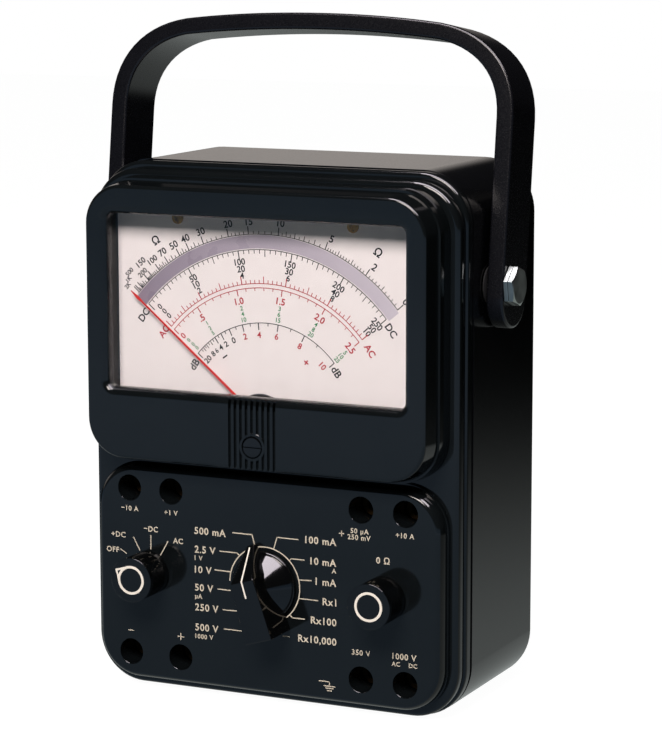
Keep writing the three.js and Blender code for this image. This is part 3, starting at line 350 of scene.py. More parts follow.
def addSoftbox(name, look):
    place = Vector(look["place"])
    putDown()
    bpy.ops.object.light_add(type="AREA", location=place * millimetre)
    box = bpy.context.object
    box.name = name
    box.data.shape = "RECTANGLE"
    box.data.size, box.data.size_y = (side * millimetre for side in look["size"])
    box.data.energy = look["power"]
    box.data.color = colour(look["tint"])[:3]
    box.visible_diffuse = look["diffuse"]
    if look["diffuse"]:
        away = (place - Vector(studio["aim"])).normalized()
        box.rotation_euler = away.to_track_quat("Z", "Y").to_euler()


def addFloor():
    # Pale and evenly lit to the eye; what the gloss sees of the floor is in the world below
    putDown()
    bpy.ops.mesh.primitive_plane_add(
        size=studio["floorSize"] * millimetre, location=(0, 0, -studio["floorDrop"] * millimetre)
    )
    floor = bpy.context.object
    floor.name = "studio_floor"
    finish = bpy.data.materials.new("matt pale studio floor")
    finish.use_nodes = True
    tree = finish.node_tree
    shader = tree.nodes["Principled BSDF"]
    shader.inputs["Base Color"].default_value = colour(studio["floorTone"])
    shader.inputs["Roughness"].default_value = studio["floorRough"]
    shader.inputs["Emission Color"].default_value = (1, 1, 1, 1)
    path = addNode(tree, "ShaderNodeLightPath")
    glow = addNode(tree, "ShaderNodeMath", {"operation": "MULTIPLY"}, {
        0: path.outputs["Is Camera Ray"], 1: studio["floorGlow"],
    })
    tree.links.new(glow.outputs[0], shader.inputs["Emission Strength"])
    floor.data.materials.append(finish)
    floor.visible_glossy = False


# What gloss sees by direction: the floor below, a dark room above, a bright wall low behind
gloss = {
    "frontFloorFar": "#7b96b2",
    "frontFloorMid": "#a1b7d0",
    "frontFloorNear": "#8ba1b6",
    "rearFloor": "#adb3b1",
    "rearWall": "#b8b1ac",
    "room": "#1c1c1e",
}
# Where one tone gives way to the next: the axis of the direction, and the start and end along it
glossEdges = {
    "rear": ("Y", -0.1, 0.1),
    "frontMid": ("Z", -0.1, -0.17),
    "frontNear": ("Z", -0.18, -0.23),
    "rearFloor": ("Z", -0.165, -0.28),
    "rearWall": ("X", -0.22, -0.41),
    "wallTop": ("Z", 0.22, 0.36),
    "horizon": ("Z", -0.03, 0.03),
}


def addWorld():
    world = bpy.data.worlds.new("studio")
    world.use_nodes = True
    tree = world.node_tree
    tree.nodes.clear()
    path = addNode(tree, "ShaderNodeLightPath")
    # Light on its way to a matt surface through the glass counts as soft light, not as a reflection
    unspread = addNode(tree, "ShaderNodeMath", {"operation": "LESS_THAN"}, {
        0: path.outputs["Diffuse Depth"], 1: 0.5,
    })
    mirrored = addNode(tree, "ShaderNodeMath", {"operation": "MULTIPLY"}, {
        0: path.outputs["Is Glossy Ray"], 1: unspread.outputs[0],
    })
    place = addNode(tree, "ShaderNodeTexCoord")
    axes = addNode(tree, "ShaderNodeSeparateXYZ", inputs={"Vector": place.outputs["Generated"]})

    def blend(edge, first, second):
        axis, start, end = glossEdges[edge]
        share = addNode(tree, "ShaderNodeMapRange", {"interpolation_type": "SMOOTHSTEP"}, {
            "Value": axes.outputs[axis], "From Min": start, "From Max": end, "To Min": 0.0, "To Max": 1.0,
        }).outputs["Result"]
        return mixColours(tree, share, first, second)

    tones = {name: colour(code) for name, code in gloss.items()}
    frontLow = blend("frontMid", tones["frontFloorFar"], tones["frontFloorMid"])
    frontLow = blend("frontNear", frontLow, tones["frontFloorNear"])
    rearLow = blend("rearFloor", (0, 0, 0, 1), tones["rearFloor"])
    rearHigh = blend("wallTop", blend("rearWall", tones["room"], tones["rearWall"]), tones["room"])
    low = blend("rear", frontLow, rearLow)
    high = blend("rear", tones["room"], rearHigh)
    seen = blend("horizon", low, high)
    soft = addNode(tree, "ShaderNodeBackground", inputs={
        "Color": colour(studio["ambientTone"]), "Strength": studio["ambient"],
    })
    mirror = addNode(tree, "ShaderNodeBackground", inputs={"Color": seen, "Strength": 1.0})
    plain = addNode(tree, "ShaderNodeBackground", inputs={"Color": (1, 1, 1, 1), "Strength": 1.0})
    first = addNode(tree, "ShaderNodeMixShader", inputs={
        0: mirrored.outputs[0], 1: soft.outputs[0], 2: mirror.outputs[0],
    })
    second = addNode(tree, "ShaderNodeMixShader", inputs={
        0: path.outputs["Is Camera Ray"], 1: first.outputs[0], 2: plain.outputs[0],
    })
    addNode(tree, "ShaderNodeOutputWorld", inputs={"Surface": second.outputs[0]})
    bpy.context.scene.world = world


bpy.context.scene.view_settings.view_transform = "Standard"
addCamera()
addFloor()
addWorld()
for name, look in softboxes.items():
    addSoftbox(name, look)
print("camera, floor and light are set")


# Finishes

def startFinish(name):
    finish = bpy.data.materials.new(name)
    finish.use_nodes = True
    return finish, finish.node_tree, finish.node_tree.nodes["Principled BSDF"]


def addNoise(tree, size, detail):
    place = addNode(tree, "ShaderNodeTexCoord")
    return addNode(tree, "ShaderNodeTexNoise", inputs={
        "Vector": place.outputs["Object"], "Scale": 1 / (size * millimetre), "Detail": detail,
    }).outputs["Fac"]


def addTone(tree, shader, noise, look):
    tone = mixColours(tree, noise, colour(look["dark"]), colour(look["light"]))
    tree.links.new(tone, shader.inputs["Base Color"])


noiseSpan = (0.3, 0.7)


def addSheen(tree, shader, noise, look, span=noiseSpan):
    low, high = span
    sheen = addNode(tree, "ShaderNodeMapRange", inputs={
        "Value": noise, "From Min": low, "From Max": high, "To Min": look["smooth"], "To Max": look["rough"],
    })
    tree.links.new(sheen.outputs["Result"], shader.inputs["Roughness"])


def addBump(tree, shader, noise, strength, depth):
    # A bump on a socket that already has one comes on top of it
    inputs = {"Height": noise, "Strength": strength, "Distance": depth * millimetre}
    if shader.inputs["Normal"].is_linked:
        inputs["Normal"] = shader.inputs["Normal"].links[0].from_socket
    bump = addNode(tree, "ShaderNodeBump", inputs=inputs)
    tree.links.new(bump.outputs["Normal"], shader.inputs["Normal"])


bumpDepth = {"ripple": 0.2, "grain": 0.05, "marks": 0.05, "coat": 0.03}


def makePhenolic(name, look):
    # Moulded thermoset: a deep black body, and a hard gloss with a faint mould ripple and fine dust
    finish, tree, shader = startFinish(name)
    shader.inputs["IOR"].default_value = look["ior"]
    shader.inputs["Specular IOR Level"].default_value = look["specular"]
    ripple = addNoise(tree, look["ripple"], 2.0)
    grain = addNoise(tree, look["grain"], 4.0)
    addTone(tree, shader, ripple, look)
    addSheen(tree, shader, grain, look)
    addBump(tree, shader, ripple, look["waviness"], bumpDepth["ripple"])
    addBump(tree, shader, grain, look["pores"], bumpDepth["grain"])
    return finish


phenolicLooks = {
    "case": {
        "dark": "#060709", "light": "#0b0c0f", "ior": 1.55, "specular": 0.5, "smooth": 0.11, "rough": 0.17,
        "ripple": 14, "grain": 0.6, "waviness": 0.01, "pores": 0.04,
    },
    "panel": {
        "dark": "#0b0e10", "light": "#101416", "ior": 1.5, "specular": 0.35, "smooth": 0.07, "rough": 0.12,
        "ripple": 18, "grain": 0.5, "waviness": 0.01, "pores": 0.03,
    },
    "knob": {
        "dark": "#060708", "light": "#0a0b0c", "ior": 1.5, "specular": 0.4, "smooth": 0.05, "rough": 0.1,
        "ripple": 10, "grain": 0.4, "waviness": 0.01, "pores": 0.02,
    },
    "handle": {
        "dark": "#08090d", "light": "#0d0e13", "ior": 1.5, "specular": 0.33, "smooth": 0.2, "rough": 0.3,
        "ripple": 9, "grain": 0.45, "waviness": 0.02, "pores": 0.05,
    },
    "frame": {
        "dark": "#0e0f10", "light": "#161718", "ior": 1.5, "specular": 0.3, "smooth": 0.4, "rough": 0.55,
        "ripple": 8, "grain": 0.5, "waviness": 0.02, "pores": 0.2,
    },
    "laminate": {
        "dark": "#5a3a20", "light": "#6d4a2b", "ior": 1.5, "specular": 0.4, "smooth": 0.4, "rough": 0.55,
        "ripple": 4, "grain": 0.5, "waviness": 0.05, "pores": 0.3,
    },
}
casePhenolic = makePhenolic("moulded black phenolic, satin case", phenolicLooks["case"])
panelPhenolic = makePhenolic("polished black phenolic, panel and bezel", phenolicLooks["panel"])
knobPlastic = makePhenolic("gloss black moulded knob", phenolicLooks["knob"])
handlePlastic = makePhenolic("satin black moulded handle", phenolicLooks["handle"])
framePhenolic = makePhenolic("matt black moulded meter frame", phenolicLooks["frame"])
switchLaminate = makePhenolic("pressed paper phenolic wafers", phenolicLooks["laminate"])


def makeMetal(name, look):
    # Plated or bare metal: a clear reflection broken by fine turning marks and dull spots
    finish, tree, shader = startFinish(name)
    shader.inputs["Metallic"].default_value = 1.0
    spots = addNoise(tree, look["spot"], 4.0)
    addTone(tree, shader, spots, look)
    addSheen(tree, shader, spots, look)
    addBump(tree, shader, spots, look["marks"], bumpDepth["marks"])
    return finish


metalLooks = {
    "steel": {"dark": "#8f9693", "light": "#a9afaa", "spot": 5, "smooth": 0.3, "rough": 0.38, "marks": 0.04},
    "brass": {
        "dark": "#8a6a34", "light": "#b58f4e", "spot": 1.5, "smooth": 0.2, "rough": 0.38, "marks": 0.15,
    },
    # The jack sockets get a brass colour far darker than the turned brass
    "socket": {"dark": "#231b10", "light": "#382b18", "spot": 1.5, "smooth": 0.4, "rough": 0.6, "marks": 0.2},
    "copper": {
        "dark": "#7c3d1c", "light": "#a35a30", "spot": 0.8, "smooth": 0.28, "rough": 0.45, "marks": 0.25,
    },
    "cell": {"dark": "#3a3d40", "light": "#55585c", "spot": 6, "smooth": 0.3, "rough": 0.42, "marks": 0.1},
}
platedSteel = makeMetal("nickel plated steel", metalLooks["steel"])
brass = makeMetal("turned brass", metalLooks["brass"])
socketBrass = makeMetal("dark brass socket", metalLooks["socket"])
coilCopper = makeMetal("enamelled copper winding", metalLooks["copper"])
cellJacket = makeMetal("printed steel battery jacket", metalLooks["cell"])


def makePaint(name, look):
    # Printed or sprayed paint: an even matt coat with a slight mottle
    finish, tree, shader = startFinish(name)
    shader.inputs["Specular IOR Level"].default_value = look["specular"]
    mottle = addNoise(tree, look["mottle"], 3.0)
    addTone(tree, shader, mottle, look)
    addSheen(tree, shader, mottle, look)
    addBump(tree, shader, mottle, look["coat"], bumpDepth["coat"])
    return finish


paintLooks = {
    "dial": {
        "dark": "#e8e0e3", "light": "#f0e9ec", "mottle": 5, "smooth": 0.55, "rough": 0.7, "coat": 0.05,
        "specular": 0.05,
    },
    "cream": {
        "dark": "#c9c1b0", "light": "#d8d0c0", "mottle": 1.5, "smooth": 0.5, "rough": 0.7, "coat": 0.2,
        "specular": 0.1,
    },
    "fill": {
        "dark": "#ece7dd", "light": "#f8f4ec", "mottle": 1.5, "smooth": 0.5, "rough": 0.7, "coat": 0.2,
        "specular": 0.1,
    },
    "black": {
        "dark": "#0c0e10", "light": "#16181b", "mottle": 1, "smooth": 0.5, "rough": 0.6, "coat": 0.1,
        "specular": 0.05,
    },
    "red": {
        "dark": "#a8202e", "light": "#b52c38", "mottle": 1, "smooth": 0.5, "rough": 0.6, "coat": 0.1,
        "specular": 0.05,
    },
    "needle": {
        "dark": "#c81c1a", "light": "#d42822", "mottle": 1, "smooth": 0.4, "rough": 0.5, "coat": 0.1,
        "specular": 0.1,
    },
    "green": {
        "dark": "#2c7c4c", "light": "#3c8c5c", "mottle": 1, "smooth": 0.5, "rough": 0.6, "coat": 0.1,
        "specular": 0.05,
    },
    "mirror": {
        "dark": "#bfbac9", "light": "#c9c4d2", "mottle": 8, "smooth": 0.25, "rough": 0.35, "coat": 0.02,
        "specular": 0.5,
    },
    "board": {
        "dark": "#28502e", "light": "#35633b", "mottle": 3, "smooth": 0.35, "rough": 0.5, "coat": 0.1,
        "specular": 0.5,
    },
    "rubber": {
        "dark": "#0c0c0c", "light": "#161616", "mottle": 0.8, "smooth": 0.75, "rough": 0.9, "coat": 0.4,
        "specular": 0.25,
    },
}
dialPaint = makePaint("matt white dial paint", paintLooks["dial"])
creamFill = makePaint("cream filled engraving", paintLooks["cream"])
knobFill = makePaint("white filled knob marks", paintLooks["fill"])
blackInk = makePaint("black dial ink", paintLooks["black"])
redInk = makePaint("red dial ink", paintLooks["red"])
needleRed = makePaint("red lacquered pointer", paintLooks["needle"])
greenInk = makePaint("green dial ink", paintLooks["green"])
mirrorBand = makePaint("silvered dial band", paintLooks["mirror"])


def paintReflectionAcross(finish, left, right, halfWide):
    # Painted reflection: the band's colour is darkened towards its left and lightened towards its right,
    # standing in for the darker and lighter room a silvered face would mirror
    tree = finish.node_tree
    shader = tree.nodes["Principled BSDF"]
    tone = shader.inputs["Base Color"].links[0].from_socket
    place = addNode(tree, "ShaderNodeTexCoord")
    axes = addNode(tree, "ShaderNodeSeparateXYZ", inputs={"Vector": place.outputs["Object"]})
    share = addNode(tree, "ShaderNodeMapRange", inputs={
        "Value": axes.outputs["X"], "From Min": -halfWide * millimetre, "From Max": halfWide * millimetre,
    })
    shade = mixColours(tree, share.outputs["Result"], colour(left), colour(right))
    tree.links.new(mixColours(tree, 1.0, tone, shade, "MULTIPLY"), shader.inputs["Base Color"])


# The silvered band gets a painted reflection, darker at its left and lighter at its right
paintReflectionAcross(mirrorBand, "#b3a8b2", "#fffafa", 45)
boardResist = makePaint("green solder resist", paintLooks["board"])
rubber = makePaint("moulded black rubber", paintLooks["rubber"])


glass = {"tint": "#fafdfc", "ior": 1.45, "dust": 1 / 0.22, "span": (0.4, 0.8), "smooth": 0.0, "rough": 0.04}


def makeGlass():
    # Float glass, faintly green, with a trace of dust that dulls the gloss
    finish, tree, shader = startFinish("clear window glass")
    shader.inputs["Transmission Weight"].default_value = 1.0
    shader.inputs["IOR"].default_value = glass["ior"]
    shader.inputs["Base Color"].default_value = colour(glass["tint"])
    addSheen(tree, shader, addNoise(tree, glass["dust"], 3.0), glass, glass["span"])
    return finish


windowGlass = makeGlass()
print("finishes are made")


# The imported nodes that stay, each with its finish

nodeFinishes = {
    "window_glass": windowGlass,
    "dial_plate": dialPaint,
    "range_switch": switchLaminate,
    "function_switch": switchLaminate,
    "meter_frame": framePhenolic,
    "moving_coil": coilCopper,
    "core_magnet": platedSteel,
    "magnet_yoke": platedSteel,
    "core_bracket": brass,
}
slotFinishes = {
    "case_phenolic": casePhenolic,
    "panel_phenolic": panelPhenolic,
    "knob_plastic": knobPlastic,
    "handle_plastic": handlePlastic,
    "frame_phenolic": framePhenolic,
    "rubber": rubber,
    "plated_steel": platedSteel,
    "brass": brass,
    "coil_copper": coilCopper,
    "window_glass": windowGlass,
    "dial_paint": dialPaint,
    "needle_paint": needleRed,
    "board_laminate": boardResist,
    "cell_paint": cellJacket,
}
nodeSlots = {part["node"]: part["material_slot"] for part in frame["record"]["subparts"]}
for nodeName, node in frame["nodes"].items():
    finish = nodeFinishes.get(nodeName, slotFinishes[nodeSlots[nodeName]])
    node.data.materials.clear()
    node.data.materials.append(finish)
frame["nodes"]["window_glass"].visible_shadow = False
frame["nodes"]["window_glass"].visible_diffuse = False
print("packed nodes have their finishes")


# Rear case: a moulded tub, open to the front

body = {"halfWide": 66.675, "low": 0, "high": 177.8, "corner": 17.6}
# How far most cutters reach past what they cut
past = 5
case = {
    "front": -14.7,
    "back": 39.7,
    "wall": 3,
    "backRound": 3,
    "cornerSteps": 16,
    "landDepth": 0.4,
    "landLow": 131,
    "landHigh": 200,
    "boltY": -1,
    "boltZ": 140.3,
    "boltHole": 3.4,
    "boltHoleEnd": 75,
    "padRadius": 7.6,
    "padDepth": 2.4,
    "columnRadius": 4.1,
    "columnFront": 20,
    "screwHole": 2.2,
    "boreFront": 10,
    "boreBack": 50,
    "seatRadius": 3.7,
    "seatDepth": 3.9,
    "screws": [(-42.275, 8.4), (42.275, 8.4), (-53.975, 165.3), (53.975, 165.3)],
    "feet": [(-53.5, 26), (53.5, 26), (-53.5, 146), (53.5, 146)],
    "footSeat": 5.3,
    "footSink": 1.3,
}
door = {"halfWide": 36.5, "low": 16, "high": 86, "corner": 3}
cover = {
    "thick": 1.7,
    "gap": 0.3,
    "ledge": 3.5,
    "ledgeTop": 8.6,
    "screwZ": 81.7,
    "screwHole": 1.8,
    "holeFront": 30,
    "bossRadius": 3.6,
    "bossFront": 29.7,
    "edge": 0.35,
}


def makeRearCase():
    back, boreBack = case["back"], case["boreBack"]
    shell = addSlab("rear_case_shell", body, case["front"], back, case["cornerSteps"])
    roundRim(shell, back, case["backRound"], 6)
    inner = back - case["wall"]
    inside = smaller(body, case["wall"])
    cutAway(shell, addSlab("inside", inside, case["front"] - past, inner, case["cornerSteps"]))
    for side in (-1, 1):
        wall = body["halfWide"]
        left, right = sorted((side * (wall - case["landDepth"]), side * (wall + past)))
        low = (left, case["front"] - past, case["landLow"])
        cutAway(shell, addBlock("land", low, (right, back + past, case["landHigh"])))
    rebate = back - cover["thick"] - cover["gap"]
    through = smaller(door, cover["ledge"], cover["ledgeTop"], cover["ledge"])
    cutAway(
        shell,
        addSlab("rebate", smaller(door, -cover["gap"]), rebate, back + past, 5),
        addSlab("through", through, inner - past, back + past, 5),
    )
    y, z = case["boltY"], case["boltZ"]
    wallX = body["halfWide"] - case["wall"]
    padX = wallX - case["padDepth"]
    for side in (-1, 1):
        weld(shell, addRod("pad", case["padRadius"], (side * padX, y, z), (side * (wallX + 1), y, z), 40))
        holeEnds = ((side * (padX - 2), y, z), (side * case["boltHoleEnd"], y, z))
        cutAway(shell, addRod("hole", case["boltHole"], *holeEnds, 32))

    def rodBack(radius, x, z, start, end, sides):
        return addRod("rod", radius, (x, start, z), (x, end, z), sides)

    for x, z in case["screws"]:
        weld(shell, rodBack(case["columnRadius"], x, z, case["columnFront"], inner + 1, 32))
        cutAway(
            shell,
            rodBack(case["screwHole"], x, z, case["boreFront"], boreBack, 24),
            rodBack(case["seatRadius"], x, z, back - case["seatDepth"], boreBack, 40),
        )
    z = cover["screwZ"]
    weld(shell, rodBack(cover["bossRadius"], 0, z, cover["bossFront"], inner + 1, 32))
    cutAway(shell, rodBack(cover["screwHole"], 0, z, cover["bossFront"] + 1, boreBack, 24))
    for x, z in case["feet"]:
        cutAway(shell, rodBack(case["footSeat"], x, z, back - case["footSink"], boreBack, 48))
    settle(shell, "housing", casePhenolic, ["rear_case"])


def makeBatteryCover():
    plate = addSlab("battery_cover_plate", door, case["back"] - cover["thick"], case["back"], 6)
    roundRim(plate, case["back"], cover["edge"], 3)
    z = cover["screwZ"]
    holeEnds = [(0, y, z) for y in (cover["holeFront"], case["boreBack"])]
    cutAway(plate, addRod("hole", cover["screwHole"], *holeEnds, 24))
    settle(plate, "battery_cover", casePhenolic, ["battery_cover"])


# Slotted pan screws, modelled face up and then stood to face the back or the front

roundShare = 0.3


def makeSlottedScrew(name, look):
    head, rise, edge = look["head"], look["rise"], look["edge"]
    screw = turnUp(name, [
        (look["shank"], -look["length"]),
        (look["shank"], 0),
        (head, 0),
        (head, rise - edge),
        (head - edge * roundShare, rise - edge * roundShare),
        (head - edge, rise),
    ], 40)
    half = look["slot"] / 2
    cutAway(screw, addBlock("slot", (-head - 1, -half, rise - look["slotDeep"]), (head + 1, half, rise + 1)))
    return screw


coverScrew = {
    "head": 3.2, "rise": 1.6, "edge": 0.5, "shank": 1.5, "length": 10.2, "slot": 0.9, "slotDeep": 0.7,
    "y": 39.9, "turn": 20,
}
caseScrew = {
    "head": 3.4, "rise": 2.2, "edge": 0.6, "shank": 1.9, "length": 27.9, "slot": 0.9, "slotDeep": 0.8,
    "y": 36.1, "turns": [35, -20, 70, 10],
}
# In the order of the places of the screws and of the feet
backCorners = ["lower_left", "lower_right", "upper_left", "upper_right"]


def makeBackScrews():
    screw = makeSlottedScrew("battery_cover_screw_head", coverScrew)
    standUp(screw, 0, coverScrew["y"], cover["screwZ"], coverScrew["turn"], -1)
    settle(screw, "battery_cover_screw", platedSteel, ["battery_cover_screw"])
    for (x, z), corner, turn in zip(case["screws"], backCorners, caseScrew["turns"]):
        node = "case_screw_" + corner
        screw = makeSlottedScrew(node + "_head", caseScrew)
        standUp(screw, x, caseScrew["y"], z, turn, -1)
        settle(screw, "housing", platedSteel, [node])


foot = {
    "radius": 5, "sink": 1, "proud": 1.5, "crown": 0.7, "crownShares": (0.12, 0.5), "edge": 0.2,
    "dimple": 1.2, "dimpleDeep": 0.5, "dimpleEdge": 0.3,
}


def makeFeet():
    radius, proud, crown, edge = foot["radius"], foot["proud"], foot["crown"], foot["edge"]
    little, much = (crown * share for share in foot["crownShares"])
    for (x, z), corner in zip(case["feet"], backCorners):
        node = "rear_foot_" + corner
        pad = turnUp(node + "_pad", [
            (radius - edge, -foot["sink"]),
            (radius, -foot["sink"] + edge),
            (radius, proud - crown),
            (radius - little, proud - much),
            (radius - much, proud - little),
            (radius - crown, proud),
            (foot["dimple"] + foot["dimpleEdge"], proud),
            (foot["dimple"], proud - edge),
            (foot["dimple"], proud - foot["dimpleDeep"]),
        ], 48)
        standUp(pad, x, case["back"], z, 0, -1)
        settle(pad, "housing", rubber, [node])


makeRearCase()
makeBatteryCover()
makeBackScrews()
makeFeet()
print("rear case, battery cover, screws and feet are made")


# Handle: one moulded strap, swept from the right leg over the crown and mirrored

handle = {
    "legInner": 67.275,
    "legThick": 5.9,
    "crownThick": 5.5,
    "crownHeight": 85.7,
    "crownRise": 5,
    "cornerRadius": 27,
    "front": 5.2,
    "back": 15.1,
    "legDrop": 13.7,
    "legRound": 10,
    "edge": 0.9,
    "lean": 7.3,
    "stations": 14,
    "hole": 3.4,
    "holeEnd": 80,
    "cornerShares": (0.62, 0.4),
    "crownShare": 0.34,
}


def bezier(points, share):
    while len(points) > 1:
        points = [a.lerp(b, share) for a, b in zip(points, points[1:])]
    return points[0]


def handlePath(halfWide, top, cornerRadius):
    shoulder = top - handle["crownRise"]
    cornerZ = shoulder - cornerRadius
    upShare, inShare = handle["cornerShares"]
    corner = [
        Vector((halfWide, cornerZ)),
        Vector((halfWide, cornerZ + cornerRadius * upShare)),
        Vector((halfWide - cornerRadius * inShare, shoulder)),
        Vector((halfWide - cornerRadius, top - handle["crownRise"] * 0.5)),
    ]
    crown = [corner[-1], Vector((halfWide * handle["crownShare"], top)), Vector((0, top))]
    steps = handle["stations"]
    path = [Vector((halfWide, -handle["legDrop"]))]
    path += [bezier(corner, k / steps) for k in range(steps + 1)]
    path += [bezier(crown, k / steps) for k in range(1, steps + 1)]
    return path


def makeHandle():
    halfWide = handle["legInner"] + handle["legThick"]
    outer = handlePath(halfWide, handle["crownHeight"], handle["cornerRadius"])
    inner = handlePath(
        handle["legInner"],
        handle["crownHeight"] - handle["crownThick"],
        handle["cornerRadius"] - handle["legThick"],
    )
    putDown()
    middle = (outer[0] + inner[0]) / 2
    depth = handle["front"] + handle["back"]
    centreY = (handle["back"] - handle["front"]) / 2
    bpy.ops.mesh.primitive_plane_add(size=1, location=(middle.x, centreY, middle.y))
    strap = bpy.context.object
    strap.scale = (handle["legThick"], depth, 1)
    named("handle_strap")
    openMesh(strap)
    bpy.ops.mesh.select_all(action="SELECT")
    thick = handle["legThick"]
    turned = 0
    for farPoint, nearPoint in zip(outer[1:], inner[1:]):
        nextMiddle = (farPoint + nearPoint) / 2
        across = farPoint - nearPoint
        move = nextMiddle - middle
        bpy.ops.mesh.extrude_region_move(TRANSFORM_OT_translate={"value": (move.x, 0, move.y)})
        pivot = (nextMiddle.x, centreY, nextMiddle.y)
        bpy.ops.transform.rotate(value=-turned, orient_axis="Y", center_override=pivot)
        bpy.ops.transform.resize(value=(across.length / thick, 1, 1), center_override=pivot)
        turned = math.atan2(across.y, across.x)
        bpy.ops.transform.rotate(value=turned, orient_axis="Y", center_override=pivot)
        middle = nextMiddle
        thick = across.length
    bpy.ops.mesh.delete(type="ONLY_FACE")
    closeMesh()
    mirror = strap.modifiers.new("mirror", "MIRROR")
    mirror.merge_threshold = 0.01
    takeUp(strap)
    bpy.ops.object.modifier_apply(modifier=mirror.name)
    low = -handle["legDrop"]
    openMesh(strap)
    pickEdges(lambda a, b: near(a.z, low) and near(b.z, low) and near(a.y, b.y))
    bpy.ops.mesh.bevel(offset=handle["legRound"], segments=10, affect="EDGES")
    pickFaces(lambda centre, normal: abs(normal.y) < 0.1 and not (normal.z < -0.9 and centre.z < low + 1))
    bpy.ops.mesh.region_to_loop()
    bpy.ops.mesh.bevel(offset=handle["edge"], segments=4, affect="EDGES")
    closeMesh()
    end = handle["holeEnd"]
    cutAway(strap, addRod("hole", handle["hole"], (-end, 0, 0), (end, 0, 0), 40))
    putAt(strap, (0, case["boltY"], case["boltZ"]), (-math.radians(handle["lean"]), 0, 0))
    settle(strap, "handle", handlePlastic, ["handle"])


# Hexagon bolts with a chamfered head, on a hexagon collar

bolt = {
    "flats": 11.4,
    "turn": 11,
    "collarX": 73.375,
    "collarThick": 1.4,
    "headX": 74.975,
    "headThick": 1.9,
    "shank": 3.1,
    "shankEnd": 61,
    "crownCut": 0.2,
    "crownSlope": 2,
    "edge": 0.15,
    "holeStart": 70,
}


def hexAlongX(name, flats, start, end):
    prism = addRod(name, flats / math.sqrt(3), (start, 0, 0), (end, 0, 0), 6)
    putAt(prism, turn=(math.radians(bolt["turn"]), 0, 0))
    return prism


def makeBolt(side, sideName):
    flats, start, thick = bolt["flats"], bolt["headX"], bolt["headThick"]
    head = hexAlongX("handle_bolt_head_" + sideName, flats, start, start + thick)
    crown = flats / 2 - bolt["crownCut"]
    putDown()
    bpy.ops.mesh.primitive_cone_add(
        vertices=72,
        radius1=crown + bolt["crownSlope"] * thick,
        radius2=crown,
        depth=thick,
        location=(start + thick / 2, 0, 0),
        rotation=(0, math.pi / 2, 0),
    )
    combine(head, named("crown"), "INTERSECT")
    weld(head, addRod("shank", bolt["shank"], (bolt["shankEnd"], 0, 0), (start + 0.5, 0, 0), 40))
    start, end = bolt["collarX"], bolt["collarX"] + bolt["collarThick"]
    collar = hexAlongX("handle_hex_ring_" + sideName, flats, start, end)
    holeEnds = [(x, 0, 0) for x in (bolt["holeStart"], handle["holeEnd"])]
    cutAway(collar, addRod("hole", case["boltHole"], *holeEnds, 40))
    openMesh(collar)
    pickEdges(lambda a, b: near(a.x, b.x) and min(a.yz.length, b.yz.length) > case["boltHole"] + 1)
    bpy.ops.mesh.bevel(offset=bolt["edge"], segments=2, affect="EDGES")
    closeMesh()
    for piece, node in ((head, "handle_bolt_" + sideName), (collar, "handle_hex_collar_" + sideName)):
        putAt(piece, (0, case["boltY"], case["boltZ"]), (0, 0, 0 if side > 0 else math.pi))
        settle(piece, "housing", platedSteel, [node], 20)


makeHandle()
makeBolt(1, "right")
makeBolt(-1, "left")
print("handle and its bolts are made")


# Front panel: two rounded beads on a groove, and the raised control plateau

panel = {
    "beads": [
        {"front": -25, "back": -20.6, "side": 0.6, "end": 2.5, "foot": 1.2, "round": 1.9},
        {"front": -19.2, "back": -15, "side": 0.3, "end": 0.3, "foot": 0.3, "round": 1.3},
    ],
    "groove": {"front": -23, "back": -17, "side": 2.2, "end": 3.8, "foot": 2.2},
    "corner": 17,
    "cornerSteps": 14,
    "hollowInset": 5.4,
    "hollowFront": -22,
    "lipInset": 3.4,
    "lipBack": -9.5,
    "plateBack": -15,
    "columnY": (-23, 19.7),
    "boreY": (7.7, 30),
}
plateau = {
    "box": {"halfWide": 63.275, "low": 3.6, "high": 78.3, "corner": 15},
    "back": -23.5,
    "ledgeY": -26.5,
    "ledge": 0.5,
    "face": -31,
    "hollowBack": -21,
    "throughY": (-40, -20),
    "bevel": 2.5,
    "bevelSteps": 7,
    "wall": 3,
    "shaftHole": 3.4,
    "knobZ": 41.2,
    "knobX": 42.975,
}
well = {
    "radius": 4.3,
    "wall": 2,
    "floorY": -19.5,
    "floor": 2,
    "rim": 0.25,
    "rimShares": (0.13, 0.5),
    "plugProud": 3,
    "jackHole": 3.5,
    "jackHoleY": -30,
    "places": [
        ("jack_upper_left_outer", -50.175, 69.4),
        ("jack_upper_left_inner", -34.575, 69.4),
        ("jack_upper_right_inner", 34.575, 69.4),
        ("jack_upper_right_outer", 50.175, 69.4),
        ("jack_lower_left_outer", -50.175, 13.3),
        ("jack_lower_left_inner", -31.475, 13.3),
        ("jack_lower_right_inner", 34.575, 13.3),
        ("jack_lower_right_outer", 50.175, 13.3),
    ],
}
window = {"halfWide": 53.075, "low": 104.5, "high": 161.8, "corner": 2.2, "slack": 0.1}
cavity = {"halfWide": 55.575, "low": 84.6, "high": 164.3, "corner": 3, "gap": 0.3}


def beadBox(part):
    box = smaller(body, part["side"], part["end"], part["foot"])
    box["corner"] = panel["corner"] - part["side"]
    return box


